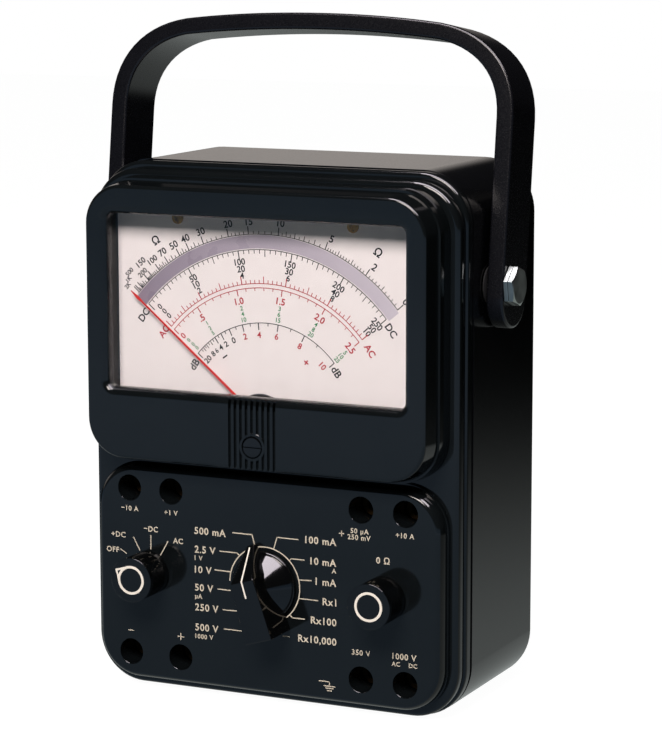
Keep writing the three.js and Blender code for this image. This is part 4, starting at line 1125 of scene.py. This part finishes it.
def makeFrontPanel():
    groove = panel["groove"]
    cornerSteps = panel["cornerSteps"]
    plate = addSlab("front_panel_moulding", beadBox(groove), groove["front"], groove["back"], cornerSteps)
    for part in panel["beads"]:
        bead = addSlab("bead", beadBox(part), part["front"], part["back"], cornerSteps)
        roundRim(bead, part["front"], part["round"], 6)
        roundRim(bead, part["back"], part["round"] * 0.5, 4)
        weld(plate, bead)
    box = plateau["box"]
    raised = addSlab("raised", box, plateau["ledgeY"], plateau["back"], cornerSteps)
    openMesh(raised)
    pickFaces(lambda centre, normal: normal.y < -0.9)
    stepIn(plateau["ledge"], 0)
    height = plateau["ledgeY"] - plateau["face"]
    steps = plateau["bevelSteps"]
    for k in range(steps):
        angle, nextAngle = (math.pi / 2 * share / steps for share in (k, k + 1))
        width = plateau["bevel"] * (math.cos(angle) - math.cos(nextAngle))
        stepIn(width, height * (math.sin(nextAngle) - math.sin(angle)))
    closeMesh()
    lip = addSlab("lip", smaller(body, panel["lipInset"]), panel["plateBack"] - 1, panel["lipBack"], 10)
    weld(plate, raised, lip)
    inset = plateau["wall"] + plateau["ledge"]
    roof = plateau["face"] + plateau["wall"]
    cutAway(
        plate,
        addSlab("hollow", smaller(body, panel["hollowInset"]), panel["hollowFront"], 0, 10),
        addSlab("plateauHollow", smaller(box, inset), roof, plateau["hollowBack"], 10),
        addSlab("meterOpening", smaller(cavity, -cavity["gap"]), *plateau["throughY"], 6),
    )
    floorEnd = well["floorY"] + well["floor"]
    for _, x, z in well["places"]:
        weld(plate, addRod("boss", well["radius"] + well["wall"], (x, roof - 1, z), (x, floorEnd, z), 32))
    for x, z in case["screws"]:
        columnEnds, boreEnds = ([(x, y, z) for y in panel[part]] for part in ("columnY", "boreY"))
        weld(plate, addRod("column", case["columnRadius"], *columnEnds, 24))
        cutAway(plate, addRod("bore", case["screwHole"], *boreEnds, 20))
    # Each well is cut by a plug with a rounded shoulder, which leaves the rim broken
    radius, rim = well["radius"], well["rim"]
    depth = well["floorY"] - plateau["face"]
    little, much = (rim * share for share in well["rimShares"])
    for _, x, z in well["places"]:
        plug = turnUp("well", [
            (radius, 0),
            (radius, depth - rim),
            (radius + little, depth - much),
            (radius + much, depth - little),
            (radius + rim, depth),
            (radius + rim, depth + well["plugProud"]),
        ], 48)
        standUp(plug, x, well["floorY"], z)
        cutAway(plate, plug, addRod("jackHole", well["jackHole"], (x, well["jackHoleY"], z), (x, 0, z), 32))
    for x in (-plateau["knobX"], 0, plateau["knobX"]):
        holeEnds = [(x, y, plateau["knobZ"]) for y in plateau["throughY"]]
        cutAway(plate, addRod("shaftHole", plateau["shaftHole"], *holeEnds, 32))
    settle(plate, "housing", panelPhenolic, ["front_panel"], 30)


jack = {
    "flange": 4.0, "flangeRise": 1, "tube": 3.2, "bore": 2.1, "length": 12, "endWall": 1,
    "y": -19.8, "edge": 0.25,
}


def makeJacks():
    edge, rise, bore = jack["edge"], jack["flangeRise"], jack["bore"]
    for node, x, z in well["places"]:
        tube = turnUp(node + "_socket", [
            (jack["tube"], -jack["length"]),
            (jack["tube"], 0),
            (jack["flange"], 0),
            (jack["flange"], rise - edge),
            (jack["flange"] - edge, rise),
            (bore + edge, rise),
            (bore, rise - edge),
            (bore, jack["endWall"] - jack["length"]),
        ], 40)
        standUp(tube, x, jack["y"], z)
        settle(tube, "housing", socketBrass, [node])


makeFrontPanel()
makeJacks()
print("front panel and jacks are made")


# Meter bezel: drafted sides, a ledge, a rounded window and the ribbed strip below it

bezel = {
    "box": {"halfWide": 62.775, "low": 78.9, "high": 173.3, "corner": 15},
    "back": -25.3,
    "start": -25.8,
    "ledgeY": -32,
    "ledge": 0.7,
    "lowerDraft": 0.4,
    "upperDraft": 1.1,
    "face": -39.7,
    "edge": 1,
    "cornerSteps": 14,
    "rabbetY": -35.3,
    "windowRound": 2.6,
    "boss": 4.7,
    "bossBack": -37.7,
    "bossEdge": 0.35,
    "seat": 3.7,
    "seatY": -37.5,
    "shaftHole": 1.8,
    "shaftHoleY": -30,
    "screwZ": 88.5,
}
rib = {"count": 8, "pitch": 2, "width": 0.95, "depth": 1, "top": 112, "lipRise": 4}


def makeBezel():
    box = bezel["box"]
    face = bezel["face"]
    rim = addSlab("meter_bezel_moulding", box, bezel["start"], bezel["back"], bezel["cornerSteps"])
    openMesh(rim)
    pickFaces(lambda centre, normal: normal.y < -0.9)
    stepIn(bezel["lowerDraft"], bezel["start"] - bezel["ledgeY"])
    stepIn(bezel["ledge"], 0)
    stepIn(bezel["upperDraft"], bezel["ledgeY"] - face)
    closeMesh()
    roundRim(rim, face, bezel["edge"], 5)
    cutAway(
        rim,
        addSlab("cavity", cavity, bezel["rabbetY"], 0, 6),
        addSlab("opening", window, face - past, 0, 6),
    )
    low, high, slack = window["low"], window["high"], window["slack"]

    def atWindow(point):
        return abs(point.x) < window["halfWide"] + slack and low - slack < point.z < high + slack

    roundRim(rim, face, bezel["windowRound"], 8, atWindow)
    half = (rib["pitch"] - rib["width"]) / 2
    for k in range(rib["count"] + 1):
        middle = (k - rib["count"] / 2) * rib["pitch"]
        left, right = middle - half, middle + half
        grooveEnd = (right, face + rib["depth"], rib["top"])
        groove = addBlock("groove", (left, face - past, box["low"] - past), grooveEnd)
        lowerEnd = (right, bezel["rabbetY"] - 1, low - rib["depth"])
        weld(groove, addBlock("lower", (left, face - past, low - rib["lipRise"]), lowerEnd))
        cutAway(rim, groove)
    z = bezel["screwZ"]
    boss = addRod("boss", bezel["boss"], (0, face, z), (0, bezel["bossBack"], z), 64)
    roundRim(boss, face, bezel["bossEdge"], 3)
    weld(rim, boss)
    cutAway(
        rim,
        addRod("seat", bezel["seat"], (0, face - past, z), (0, bezel["seatY"], z), 48),
        addRod("shaftHole", bezel["shaftHole"], (0, face - past, z), (0, bezel["shaftHoleY"], z), 32),
    )
    settle(rim, "housing", panelPhenolic, ["meter_bezel"], 30)


zeroScrew = {
    "head": 3.4, "rise": 1.9, "edge": 0.4, "shank": 1.5, "length": 2.8, "slot": 0.5, "slotDeep": 0.7,
    "y": -37.8, "pin": 0.6, "pinOff": 1.1, "pinEnd": 2.6,
}


def makeZeroScrew():
    screw = makeSlottedScrew("zero_adjust_slotted_screw", zeroScrew)
    y, end = zeroScrew["pinOff"], -zeroScrew["length"]
    weld(screw, addRod("pin", zeroScrew["pin"], (0, y, end - zeroScrew["pinEnd"]), (0, y, end + 0.5), 20))
    standUp(screw, 0, zeroScrew["y"], bezel["screwZ"])
    settle(screw, "zero_adjust_screw", knobPlastic, ["zero_adjust_screw"])


makeBezel()
makeZeroScrew()
print("meter bezel and zero screw are made")


# Range knob: a thin skirt rising as a steep cone, with a pointer bar across it.
# Knobs are modelled lying on their backs, then stood up against the panel.

rangeKnob = {
    "seatY": -31.3,
    "turn": -17,
    "bore": 3.4,
    "boreDepth": 9,
    "skirt": [
        (11.1, 0), (11.4, 0.25), (11.4, 0.95), (11.3, 1.15), (11.1, 1.3), (10.95, 1.3),
        (10.85, 1.2), (10.75, 1.05), (10.5, 1.0), (10.3, 1.12), (10.1, 1.35),
        (8.0, 3.45), (6.0, 5.45), (4.0, 7.45), (2.8, 8.5),
    ],
    "height": 14,
    "tip": 13.9,
    "tipHeight": 2,
    "tipHalf": 1.3,
    "kink": 4.2,
    "kinkHalf": 4.2,
    "tail": 16.15,
    "tailHalf": 5,
    "edge": 0.28,
    "foot": 0.2,
}


def makeRangeKnob():
    look = rangeKnob
    skirt = turnUp("range_knob_skirt", look["skirt"], 128)
    bar = addBlock(
        "range_knob_bar",
        (-look["tailHalf"], -look["tail"], look["foot"]),
        (look["tailHalf"], look["tip"], look["height"]),
    )
    openMesh(bar)
    bisectAll((0, look["kink"], 0), (0, 1, 0), False)
    for place, half in ((look["kink"], look["kinkHalf"]), (look["tip"], look["tipHalf"])):
        pickPoints(lambda point: near(point.y, place))
        share = half / look["tailHalf"]
        bpy.ops.transform.resize(value=(share, 1, 1), center_override=(0, place, 0))
    # The slope from the kink down to the tip
    run = look["tip"] - look["kink"]
    fall = look["height"] - look["tipHeight"]
    bisectAll((0, look["kink"], look["height"]), (0, fall, run))
    bpy.ops.mesh.select_all(action="SELECT")
    bpy.ops.mesh.remove_doubles(threshold=0.001)
    bpy.ops.mesh.normals_make_consistent(inside=False)
    pickEdges(lambda a, b: a.z > 1 or b.z > 1)
    bpy.ops.mesh.bevel(offset=look["edge"], segments=3, affect="EDGES")
    closeMesh()
    weld(skirt, bar)
    cutAway(skirt, addRod("bore", look["bore"], (0, 0, -1), (0, 0, look["boreDepth"]), 40))
    standUp(skirt, 0, look["seatY"], plateau["knobZ"], look["turn"])
    settle(skirt, "range_knob", knobPlastic, ["range_knob"], 28)


# Round knobs: a plain cap over a knurled grip

roundKnob = {
    "height": 12.3,
    "radius": 7.4,
    "foot": 0.25,
    "knurlStart": 2.6,
    "knurlEnd": 10.1,
    "runOut": 0.4,
    "chamfer": 0.06,
    "teeth": 84,
    "toothDepth": 0.2,
    "bore": 3.4,
    "boreDepth": 9,
    "nodes": {"function_knob": -plateau["knobX"], "zero_ohms_knob": plateau["knobX"]},
}


def makeRoundKnobs():
    look = roundKnob
    radius, foot, edge, runOut = look["radius"], look["foot"], look["chamfer"], look["runOut"]
    start, end = look["knurlStart"], look["knurlEnd"]
    share = (radius - look["toothDepth"]) / radius
    for node, x in look["nodes"].items():
        knob = turnUp(node + "_grip", [
            (radius - foot, 0),
            (radius, foot),
            (radius, start - runOut),
            (radius, start),
            (radius, end),
            (radius, end + runOut),
            (radius, look["height"] - edge),
            (radius - edge, look["height"]),
        ], 2 * look["teeth"])

        def inValley(point):
            step = math.degrees(math.atan2(point.y, point.x)) * look["teeth"] / 180
            return start - 0.01 < point.z < end + 0.01 and round(step) % 2 == 0

        openMesh(knob)
        pickPoints(inValley)
        bpy.ops.transform.resize(value=(share, share, 1), center_override=(0, 0, 0))
        closeMesh()
        cutAway(knob, addRod("bore", look["bore"], (0, 0, -1), (0, 0, look["boreDepth"]), 40))
        standUp(knob, x, rangeKnob["seatY"], plateau["knobZ"])
        settle(knob, node, knobPlastic, [node], 30)


makeRangeKnob()
makeRoundKnobs()
print("knobs are made")


# Cream marks on the knobs: thin bands cut from a ring

mark = {"thick": 0.06, "sunk": 0.05}


def addRing(name, outer, inner, sides=96):
    ring = turnUp(name, [(outer, -mark["sunk"]), (outer, mark["thick"])], sides)
    cutAway(ring, addRod("inner", inner, (0, 0, -2), (0, 0, 2), sides))
    return ring


def addStrip(name, start, end, width, ends=0):
    start, end = Vector(start), Vector(end)
    run = end - start
    putDown()
    bpy.ops.mesh.primitive_cube_add(
        size=1,
        location=((start.x + end.x) / 2, (start.y + end.y) / 2, (mark["thick"] - mark["sunk"]) / 2),
        rotation=(0, 0, math.atan2(run.y, run.x)),
        scale=(run.length + ends * width, width, mark["thick"] + mark["sunk"]),
    )
    return named(name)


knobMark = {
    "ringOuter": 4.85,
    "ringInner": 4.0,
    "tipReach": 6.2,
    "tipWidth": 0.7,
    "tipOverlap": 0.6,
    "tipAngle": 150,
    "indexWidth": 0.56,
    "slopeStart": 0.15,
    "slopeEnd": 0.8,
    "flatStart": 0.3,
    "flatEnd": -1.4,
}


def makeKnobMarks():
    look = knobMark
    face = rangeKnob["seatY"] - roundKnob["height"]
    ring = addRing("zero_ohms_knob_ring", look["ringOuter"], look["ringInner"])
    standUp(ring, plateau["knobX"], face, plateau["knobZ"])
    settle(ring, "zero_ohms_knob", knobFill)
    # The teardrop: two strips meet the ring as tangents and each other at the tip
    angle = math.radians(look["tipAngle"])
    tip = Vector((math.cos(angle), math.sin(angle))) * look["tipReach"]
    middle = (look["ringOuter"] + look["ringInner"]) / 2
    lean = math.acos(middle / look["tipReach"])
    ring = addRing("function_knob_teardrop", look["ringOuter"], look["ringInner"])
    for side in (-1, 1):
        touch = Vector((math.cos(angle + side * lean), math.sin(angle + side * lean))) * middle
        weld(ring, addStrip("side", touch, tip, look["tipWidth"], look["tipOverlap"]))
    standUp(ring, -plateau["knobX"], face, plateau["knobZ"])
    settle(ring, "function_knob", knobFill)
    # The index line runs down the slope and on over the bar's face
    kink, height, width = rangeKnob["kink"], rangeKnob["height"], look["indexWidth"]
    run = rangeKnob["tip"] - kink
    fall = height - rangeKnob["tipHeight"]
    slopeEnd = math.hypot(run, fall) - look["slopeEnd"]
    slope = addStrip("range_knob_index", (0, look["slopeStart"]), (0, slopeEnd), width)
    putAt(slope, (0, kink, height), (-math.atan2(fall, run), 0, 0))
    flat = addStrip("range_knob_index_flat", (0, kink + look["flatStart"]), (0, look["flatEnd"]), width)
    putAt(flat, (0, 0, height))
    line = gather("range_knob_index_line", [slope, flat])
    standUp(line, 0, rangeKnob["seatY"], plateau["knobZ"], rangeKnob["turn"])
    settle(line, "range_knob", knobFill)


makeKnobMarks()
print("knob marks are made")


# Prints: thin solids standing proud of what they are printed on

capShare = 0.682
boldShare = 0.028


def addText(words, cap, x=0, y=0, turn=0, side=0, spacing=1):
    # side says which end of the words stands at x: -1 the left, 1 the right, 0 the middle
    putDown()
    bpy.ops.object.text_add()
    text = bpy.context.object
    text.data.body = words
    text.data.size = cap / capShare
    text.data.extrude = mark["sunk"]
    text.data.offset = cap * boldShare
    text.data.resolution_u = 3
    text.data.space_character = spacing
    bpy.ops.object.convert(target="MESH")
    piece = bpy.context.object
    corners = [Vector(corner) for corner in piece.bound_box]
    left = min(corner.x for corner in corners)
    right = max(corner.x for corner in corners)
    anchor = (left + right) / 2 + side * (right - left) / 2
    openMesh(piece)
    bpy.ops.mesh.select_all(action="SELECT")
    bpy.ops.transform.translate(value=(-anchor, -cap / 2, 0))
    closeMesh()
    piece.rotation_euler = (0, 0, math.radians(-turn))
    piece.location = (x, y, 0)
    return named("lettering")


def addPath(points, width, overlap):
    return [addStrip("line", start, end, width, overlap) for start, end in zip(points, points[1:])]


# On the dial everything is placed from the pivot, by radius and by degrees right of upright

def onDial(radius, angle):
    turn = math.radians(angle)
    return radius * math.sin(turn), radius * math.cos(turn)


def addArc(name, outer, inner, half):
    arc = addRing(name, outer, inner, 240)
    openMesh(arc)
    for side in (-1, 1):
        turn = math.radians(side * half)
        bisectAll((0, 0, 0), (side * math.cos(turn), -side * math.sin(turn), 0))
    closeMesh()
    return arc


def addTick(angle, start, end, width):
    return addStrip("tick", onDial(start, angle), onDial(end, angle), width)


def spread(marks, parts):
    # Fills the gaps between the numbered marks, and says how heavy each tick is
    ticks = [(marks[0], 2)]
    for start, end in zip(marks, marks[1:]):
        for k in range(1, parts):
            weight = 1 if 2 * k == parts else 0
            ticks.append((start + (end - start) * k / parts, weight))
        ticks.append((end, 2))
    return ticks


dial = {
    "y": -29.0,
    "pivotZ": 95.5,
    "half": 50,
    "line": 0.24,
    "tick": 0.24,
    "heavy": 0.32,
    "band": (60.6, 56.3),
    "bandPast": 1,
    "ohmsRadius": 60.9,
    "ohmsLengths": (1.0, 1.7, 2.6),
    "directRadius": 55.9,
    "levelRadius": 32.1,
    "levelLengths": (-1, -1.6, -2.3),
    "centreOhms": 12,
}


def addScale(radius, ticks, lengths):
    pieces = []
    for angle, weight in ticks:
        width = dial["heavy"] if weight == 2 else dial["tick"]
        pieces.append(addTick(angle, radius, radius + lengths[weight], width))
    return pieces


def ohmsAngle(ohms):
    return dial["half"] * (2 * dial["centreOhms"] / (dial["centreOhms"] + ohms) - 1)


def ohmsTicks():
    ticks = {}
    runs = [
        (0, 5, 0.2, 1), (5, 10, 0.5, 1), (10, 20, 1, 5), (20, 30, 2, 10), (30, 50, 2.5, 5),
        (50, 100, 5, 10), (100, 200, 10, 50), (200, 500, 50, 100), (500, 1000, 250, 500),
    ]
    for start, end, step, mid in runs:
        for k in range(int(round((end - start) / step)) + 1):
            value = start + k * step
            ticks[value] = 1 if abs(value / mid - round(value / mid)) < 1e-6 else 0
    for value in (0, 2, 5, 10, 15, 20, 30, 40, 50, 70, 100, 150, 200, 500, 1000, 2000):
        ticks[value] = 2
    return [(ohmsAngle(value), weight) for value, weight in sorted(ticks.items())]


def column(angle, rings, numbers):
    return [(number, radius, angle, cap) for number, (radius, cap) in zip(numbers, rings)]


# Numbers that stand in a column share three rings, each a radius and a cap height
directRings = ((52.3, 2), (50.0, 2), (47.8, 1.9))
greenRings = ((37.4, 1.4), (35.5, 1.4), (33.6, 1.4))
# Each row: words, radius, angle, cap height
blackRows = [
    ("20", 65.0, -11.8, 2.2), ("15", 65.0, -5, 2.2), ("10", 65.0, 5.1, 2.2), ("5", 65.0, 21.4, 2.3),
    ("2", 65.0, 36.5, 2.3), ("0", 64.9, 49.8, 2.3), ("30", 65.0, -21, 2.2), ("40", 65.0, -26.5, 2.2),
    ("50", 65.0, -30.8, 2.2), ("70", 65.2, -35.1, 2.1), ("100", 65.2, -39.2, 1.9), ("150", 67.3, -42.6, 1.9),
    ("200", 64.4, -44.3, 1.7), ("500", 67.9, -47.3, 1.5), ("1K", 66.6, -48.9, 1.4), ("2K", 65.5, -50.6, 1.4),
    ("Ω", 69.6, -35, 2.6), ("Ω", 69.6, 35, 2.6),
    ("0", 52.3, -47.6, 1.8), ("0", 50.1, -47.5, 1.8), ("0", 47.9, -47.4, 1.8),
    *column(-30, directRings, ("50", "10", "2")),
    *column(-10, directRings, ("100", "20", "4")),
    *column(10, directRings, ("150", "30", "6")),
    *column(30, directRings, ("200", "40", "8")),
    *column(49.2, directRings, ("250", "50", "10")),
    ("DC", 55.0, -54.2, 2.3), ("DC", 55.0, 54, 2.3),
    ("20", 28.2, -48, 1.8), ("8", 28.2, -42.3, 1.7), ("6", 28.2, -38.9, 1.5), ("4", 28.2, -35, 1.8),
    ("2", 28.2, -30.3, 1.8), ("0", 28.2, -24.1, 1.9), ("dB", 31, -57, 2.4), ("dB", 31, 55, 2.4),
    ("−", 24.9, -36, 2.6),
]
redRows = [
    ("0", 39.8, -49, 1.9), (".5", 39.8, -35.5, 2.1), ("1.0", 39.8, -13.6, 2.1), ("1.5", 39.8, 8.1, 2.1),
    ("2.0", 39.8, 29.3, 2.1), ("2.5", 39.8, 49.4, 2.1), ("AC", 46, -54, 2.2), ("AC", 45, 55.5, 2.2),
    ("2", 28.2, -15, 1.9), ("4", 28.2, -4.5, 1.9), ("6", 28.2, 8.3, 1.9), ("8", 28.2, 26, 1.9),
    ("10", 28.2, 46.6, 1.9), ("+", 24.9, 36, 2.4),
]
greenRows = [
    ("0", 37.4, -48.5, 1.3), ("0", 35.4, -48.3, 1.3), ("0", 33.6, -48.1, 1.3),
    ("1", 37.4, -34.5, 1.3), ("2", 35.5, -34.5, 1.3), ("5", 33.6, -34.5, 1.3),
    *column(-13.2, greenRings, ("2", "4", "10")),
    *column(8, greenRings, ("3", "6", "15")),
    *column(29, greenRings, ("4", "8", "20")),
    *column(49.5, greenRings, ("5", "10", "25")),
]
scaleTicks = {
    "direct": {
        "radius": 55.8, "marks": [-50, -30, -10, 10, 30, 50], "parts": 10, "lengths": (-1.2, -2.2, -2.9),
    },
    "outerRed": {
        "radius": 44.9, "marks": [-49.9, -31, -10.7, 9.4, 29.6, 50], "parts": 10, "lengths": (1.2, 2.3, 2.6),
    },
    "innerRed": {
        "radius": 43.5, "marks": [-50, -34.6, -13.6, 8.1, 29.3, 50], "parts": 5, "lengths": (-1, -1.4, -2.1),
    },
}
levelTicks = [
    (-50, 2), (-46.6, 0), (-45, 1), (-43.6, 0), (-42.3, 1), (-40.6, 0), (-38.9, 1), (-37, 0), (-35, 2),
    (-32.7, 0), (-30.3, 2), (-27.3, 0), (-24.1, 2), (-19.7, 0), (-15, 2), (-9.9, 0), (-4.5, 2), (1.8, 0),
    (8.3, 2), (16.8, 0), (26, 2), (35.7, 0), (50, 2),
]


def printDial(name, pieces, material):
    sheet = gather(name, pieces)
    standUp(sheet, 0, dial["y"], dial["pivotZ"])
    settle(sheet, "housing", material)


def addRows(rows):
    return [addText(words, cap, *onDial(radius, angle), angle) for words, radius, angle, cap in rows]


def addLine(radius):
    half = dial["line"] / 2
    return addArc("arc", radius + half, radius - half, dial["half"])


def addEvenScale(look):
    return addScale(look["radius"], spread(look["marks"], look["parts"]), look["lengths"])


def makeDialPrints():
    band = addArc("band", *dial["band"], dial["half"] + dial["bandPast"])
    printDial("dial_mirror_band", [band], mirrorBand)
    black = addRows(blackRows)
    black += [addLine(dial[part]) for part in ("ohmsRadius", "directRadius", "levelRadius")]
    black += addScale(dial["ohmsRadius"], ohmsTicks(), dial["ohmsLengths"])
    black += addEvenScale(scaleTicks["direct"])
    black += addScale(dial["levelRadius"], levelTicks, dial["levelLengths"])
    printDial("dial_black_scales", black, blackInk)
    redScales = [scaleTicks["outerRed"], scaleTicks["innerRed"]]
    red = addRows(redRows) + [addLine(look["radius"]) for look in redScales]
    for look in redScales:
        red += addEvenScale(look)
    printDial("dial_red_scales", red, redInk)
    printDial("dial_green_numbers", addRows(greenRows), greenInk)


# The panel's engraving, filled with cream; x and z are in millimetres on its face

legend = {
    "leftX": -25.8,
    "rightX": 25.9,
    "spacing": 1.12,
    "line": 0.33,
    "overlap": 0.7,
    "ring": (12.95, 12.58),
    "ringEnds": ((-13, 0.3), (7.1, -10.6)),
}
# Beside the range knob: words, z and cap height. The left ones start at leftX, the right ones end at rightX.
leftRows = [
    ("500 mA", 57.1, 2.25), ("2.5 V", 50.8, 2.25), ("1 V", 47.9, 1.5), ("10 V", 44.0, 2.25),
    ("50 V", 37.9, 2.25), ("µA", 34.9, 1.5), ("250 V", 31.2, 2.25), ("500 V", 24.4, 2.25),
    ("1000 V", 21.3, 1.5),
]
rightRows = [
    ("100 mA", 57.9, 2.25), ("10 mA", 51.0, 2.25), ("A", 48.4, 1.5), ("1 mA", 44.4, 2.25),
    ("Rx1", 37.9, 2.25), ("Rx100", 31.3, 2.25), ("Rx10,000", 24.8, 2.25),
]
# Elsewhere: words, the middle's x, z and cap height
freeRows = [
    ("OFF", -56.8, 47.8, 1.75), ("+DC", -54.6, 53.1, 1.75), ("−DC", -42.2, 56.0, 1.75),
    ("AC", -32.0, 52.9, 1.75),
    ("−10 A", -50.1, 62.4, 1.6), ("+1 V", -34.5, 62.2, 1.6), ("50 µA", 34.2, 62.4, 1.6),
    ("250 mV", 34.0, 60.3, 1.6), ("+10 A", 50.1, 62.4, 1.6), ("0 Ω", 42.4, 53.5, 2.0),
    ("350 V", 34.7, 22.3, 1.7), ("1000 V", 50.0, 22.6, 1.9), ("AC    DC", 50.0, 20.0, 1.4),
]
# Lines from the words to the knobs, then the ground symbol, the marks round the function knob, and four signs
leaders = [
    [(-11.6, 57.65), (-4.5, 57.65), (-3.5, 54.0)],
    [(-16.4, 51.0), (-10.2, 51.0), (-9.0, 50.2)],
    [(-18.3, 44.5), (-12.6, 44.4)],
    [(-17.2, 38.1), (-12.6, 38.1)],
    [(-15.4, 31.3), (-8.6, 31.4)],
    [(-15.0, 24.8), (-7.0, 24.8)],
    [(12.3, 57.6), (4.6, 57.6), (3.4, 53.7)],
    [(14.4, 51.0), (9.8, 51.0), (9.0, 50.3)],
    [(16.9, 44.4), (12.6, 44.2)],
    [(19.3, 38.0), (12.4, 38.0)],
    [(14.5, 31.3), (10.2, 31.3), (9.0, 32.2)],
    [(8.9, 24.8), (6.6, 24.8)],
    [(19.7, 11.3), (23.4, 11.3), (23.4, 9.9)],
    [(21.4, 9.8), (25.4, 9.8)],
    [(22.1, 9.1), (24.7, 9.1)],
    [(22.6, 8.3), (24.2, 8.3)],
    [(-53.8, 48.1), (-51.6, 46.8)],
    [(-48.8, 52.6), (-46.5, 48.4)],
    [(-42.2, 53.8), (-42.3, 49.2)],
    [(-35.8, 52.4), (-38.6, 47.5)],
    [(27.0, 61.1), (28.6, 61.1)],
    [(27.8, 60.3), (27.8, 61.9)],
    [(-32.4, 20.4), (-30.2, 20.4)],
    [(-31.3, 19.3), (-31.3, 21.5)],
    [(-51.2, 20.6), (-49.3, 20.6)],
]


def makePanelPrints():
    panelRows = [(words, legend["leftX"], z, cap, -1) for words, z, cap in leftRows]
    panelRows += [(words, legend["rightX"], z, cap, 1) for words, z, cap in rightRows]
    panelRows += [(words, x, z, cap, 0) for words, x, z, cap in freeRows]
    rows = [addText(words, cap, x, z, 0, side, legend["spacing"]) for words, x, z, cap, side in panelRows]
    words = gather("panel_lettering", rows)
    standUp(words, 0, plateau["face"], 0)
    settle(words, "housing", creamFill)
    lines = []
    for points in leaders:
        lines += addPath(points, legend["line"], legend["overlap"])
    lines = gather("panel_leader_lines", lines)
    standUp(lines, 0, plateau["face"], 0)
    settle(lines, "housing", creamFill)
    ring = addRing("panel_range_ring", *legend["ring"], 128)
    start, end = (Vector((*place, 0)) for place in legend["ringEnds"])
    run = end - start
    openMesh(ring)
    bisectAll(start, (run.y, -run.x, 0))
    closeMesh()
    standUp(ring, 0, plateau["face"], plateau["knobZ"])
    settle(ring, "housing", creamFill)


makeDialPrints()
makePanelPrints()
print("dial and panel are printed")


# Pointer: a lance on a round hub, with balance arms, a tail and the stem to its coil

needle = {
    "y": -31.5,
    "rest": -50,
    "hub": 3.2,
    "hubHalf": 0.25,
    "half": 0.17,
    "outline": [(0, 0.4), (57.4, 0.24), (59.3, 0.5), (62.7, 0.06)],
    "tail": 9,
    "arm": 6,
    "armHalf": 0.7,
    "weight": 1.1,
    "stem": 0.8,
    "stemEnd": 8.1,
}


def makePointer():
    look = needle
    half = look["half"]
    lance = addBlock("pointer_lance", (-1, 0, -half), (1, look["outline"][-1][0], half))
    for place, _ in look["outline"][1:-1]:
        openMesh(lance)
        bisectAll((0, place, 0), (0, 1, 0), False)
        closeMesh()
    openMesh(lance)
    for place, width in look["outline"]:
        pickPoints(lambda point: near(point.y, place))
        bpy.ops.transform.resize(value=(width, 1, 1), center_override=(0, place, 0))
    closeMesh()
    hubHalf = look["hubHalf"]
    weld(lance, addRod("hub", look["hub"], (0, 0, -hubHalf), (0, 0, hubHalf), 40))
    arm = look["armHalf"]
    weld(lance, addBlock("tail", (-arm, -look["tail"], -hubHalf), (arm, 0, hubHalf)))
    weld(lance, addBlock("arms", (-look["arm"], -arm, -hubHalf), (look["arm"], arm, hubHalf)))
    weight = look["weight"]
    for x, y in ((-look["arm"] + weight, 0), (look["arm"] - weight, 0), (0, -look["tail"] + weight)):
        weld(lance, addRod("weight", weight, (x, y, -hubHalf), (x, y, hubHalf), 24))
    weld(lance, addRod("stem", look["stem"], (0, 0, -look["stemEnd"]), (0, 0, 0), 20))
    standUp(lance, 0, look["y"], dial["pivotZ"], look["rest"])
    settle(lance, "pointer", needleRed, ["pointer"])


# The bridge over the movement, whose disc shows as a dark half moon, and the dial's screws

bridge = {
    "disc": 9.5, "front": -33.2, "back": -32.2, "edge": 0.25,
    "postX": 12, "postZ": 88, "post": 1.7, "postEnd": -28.3, "slotHalf": 2.2,
}
dialScrew = {
    "head": 1.95, "rise": 0.9, "edge": 0.3, "shank": 1.1, "length": 2.5, "slot": 0.6, "slotDeep": 0.6,
    "y": -29.2, "z": 160.3, "places": {"dial_screw_left": (-31.4, 75), "dial_screw_right": (31.4, -70)},
}


def makeBridge():
    look = bridge
    front, back, post = look["front"], look["back"], look["post"]
    discZ, postZ = dial["pivotZ"], look["postZ"]
    disc = addRod("movement_bridge_disc", look["disc"], (0, front, discZ), (0, back, discZ), 96)
    reach = look["postX"] + post
    weld(disc, addBlock("bar", (-reach, front, postZ - post), (reach, back, postZ + post)))
    for x in (-look["postX"], look["postX"]):
        weld(disc, addRod("post", post, (x, front + 0.5, postZ), (x, look["postEnd"], postZ), 24))
    slot = look["slotHalf"]
    z = bezel["screwZ"]
    cutAway(disc, addBlock("slot", (-slot, front - 1, z - slot), (slot, back + 1, z + slot)))
    roundRim(disc, front, look["edge"], 2)
    settle(disc, "housing", framePhenolic, ["movement_front_bridge"])


def makeDialScrews():
    for node, (x, turn) in dialScrew["places"].items():
        screw = makeSlottedScrew(node + "_head", dialScrew)
        standUp(screw, x, dialScrew["y"], dialScrew["z"], turn)
        settle(screw, "housing", brass, [node])


makePointer()
makeBridge()
makeDialScrews()
print("pointer, bridge and dial screws are made")
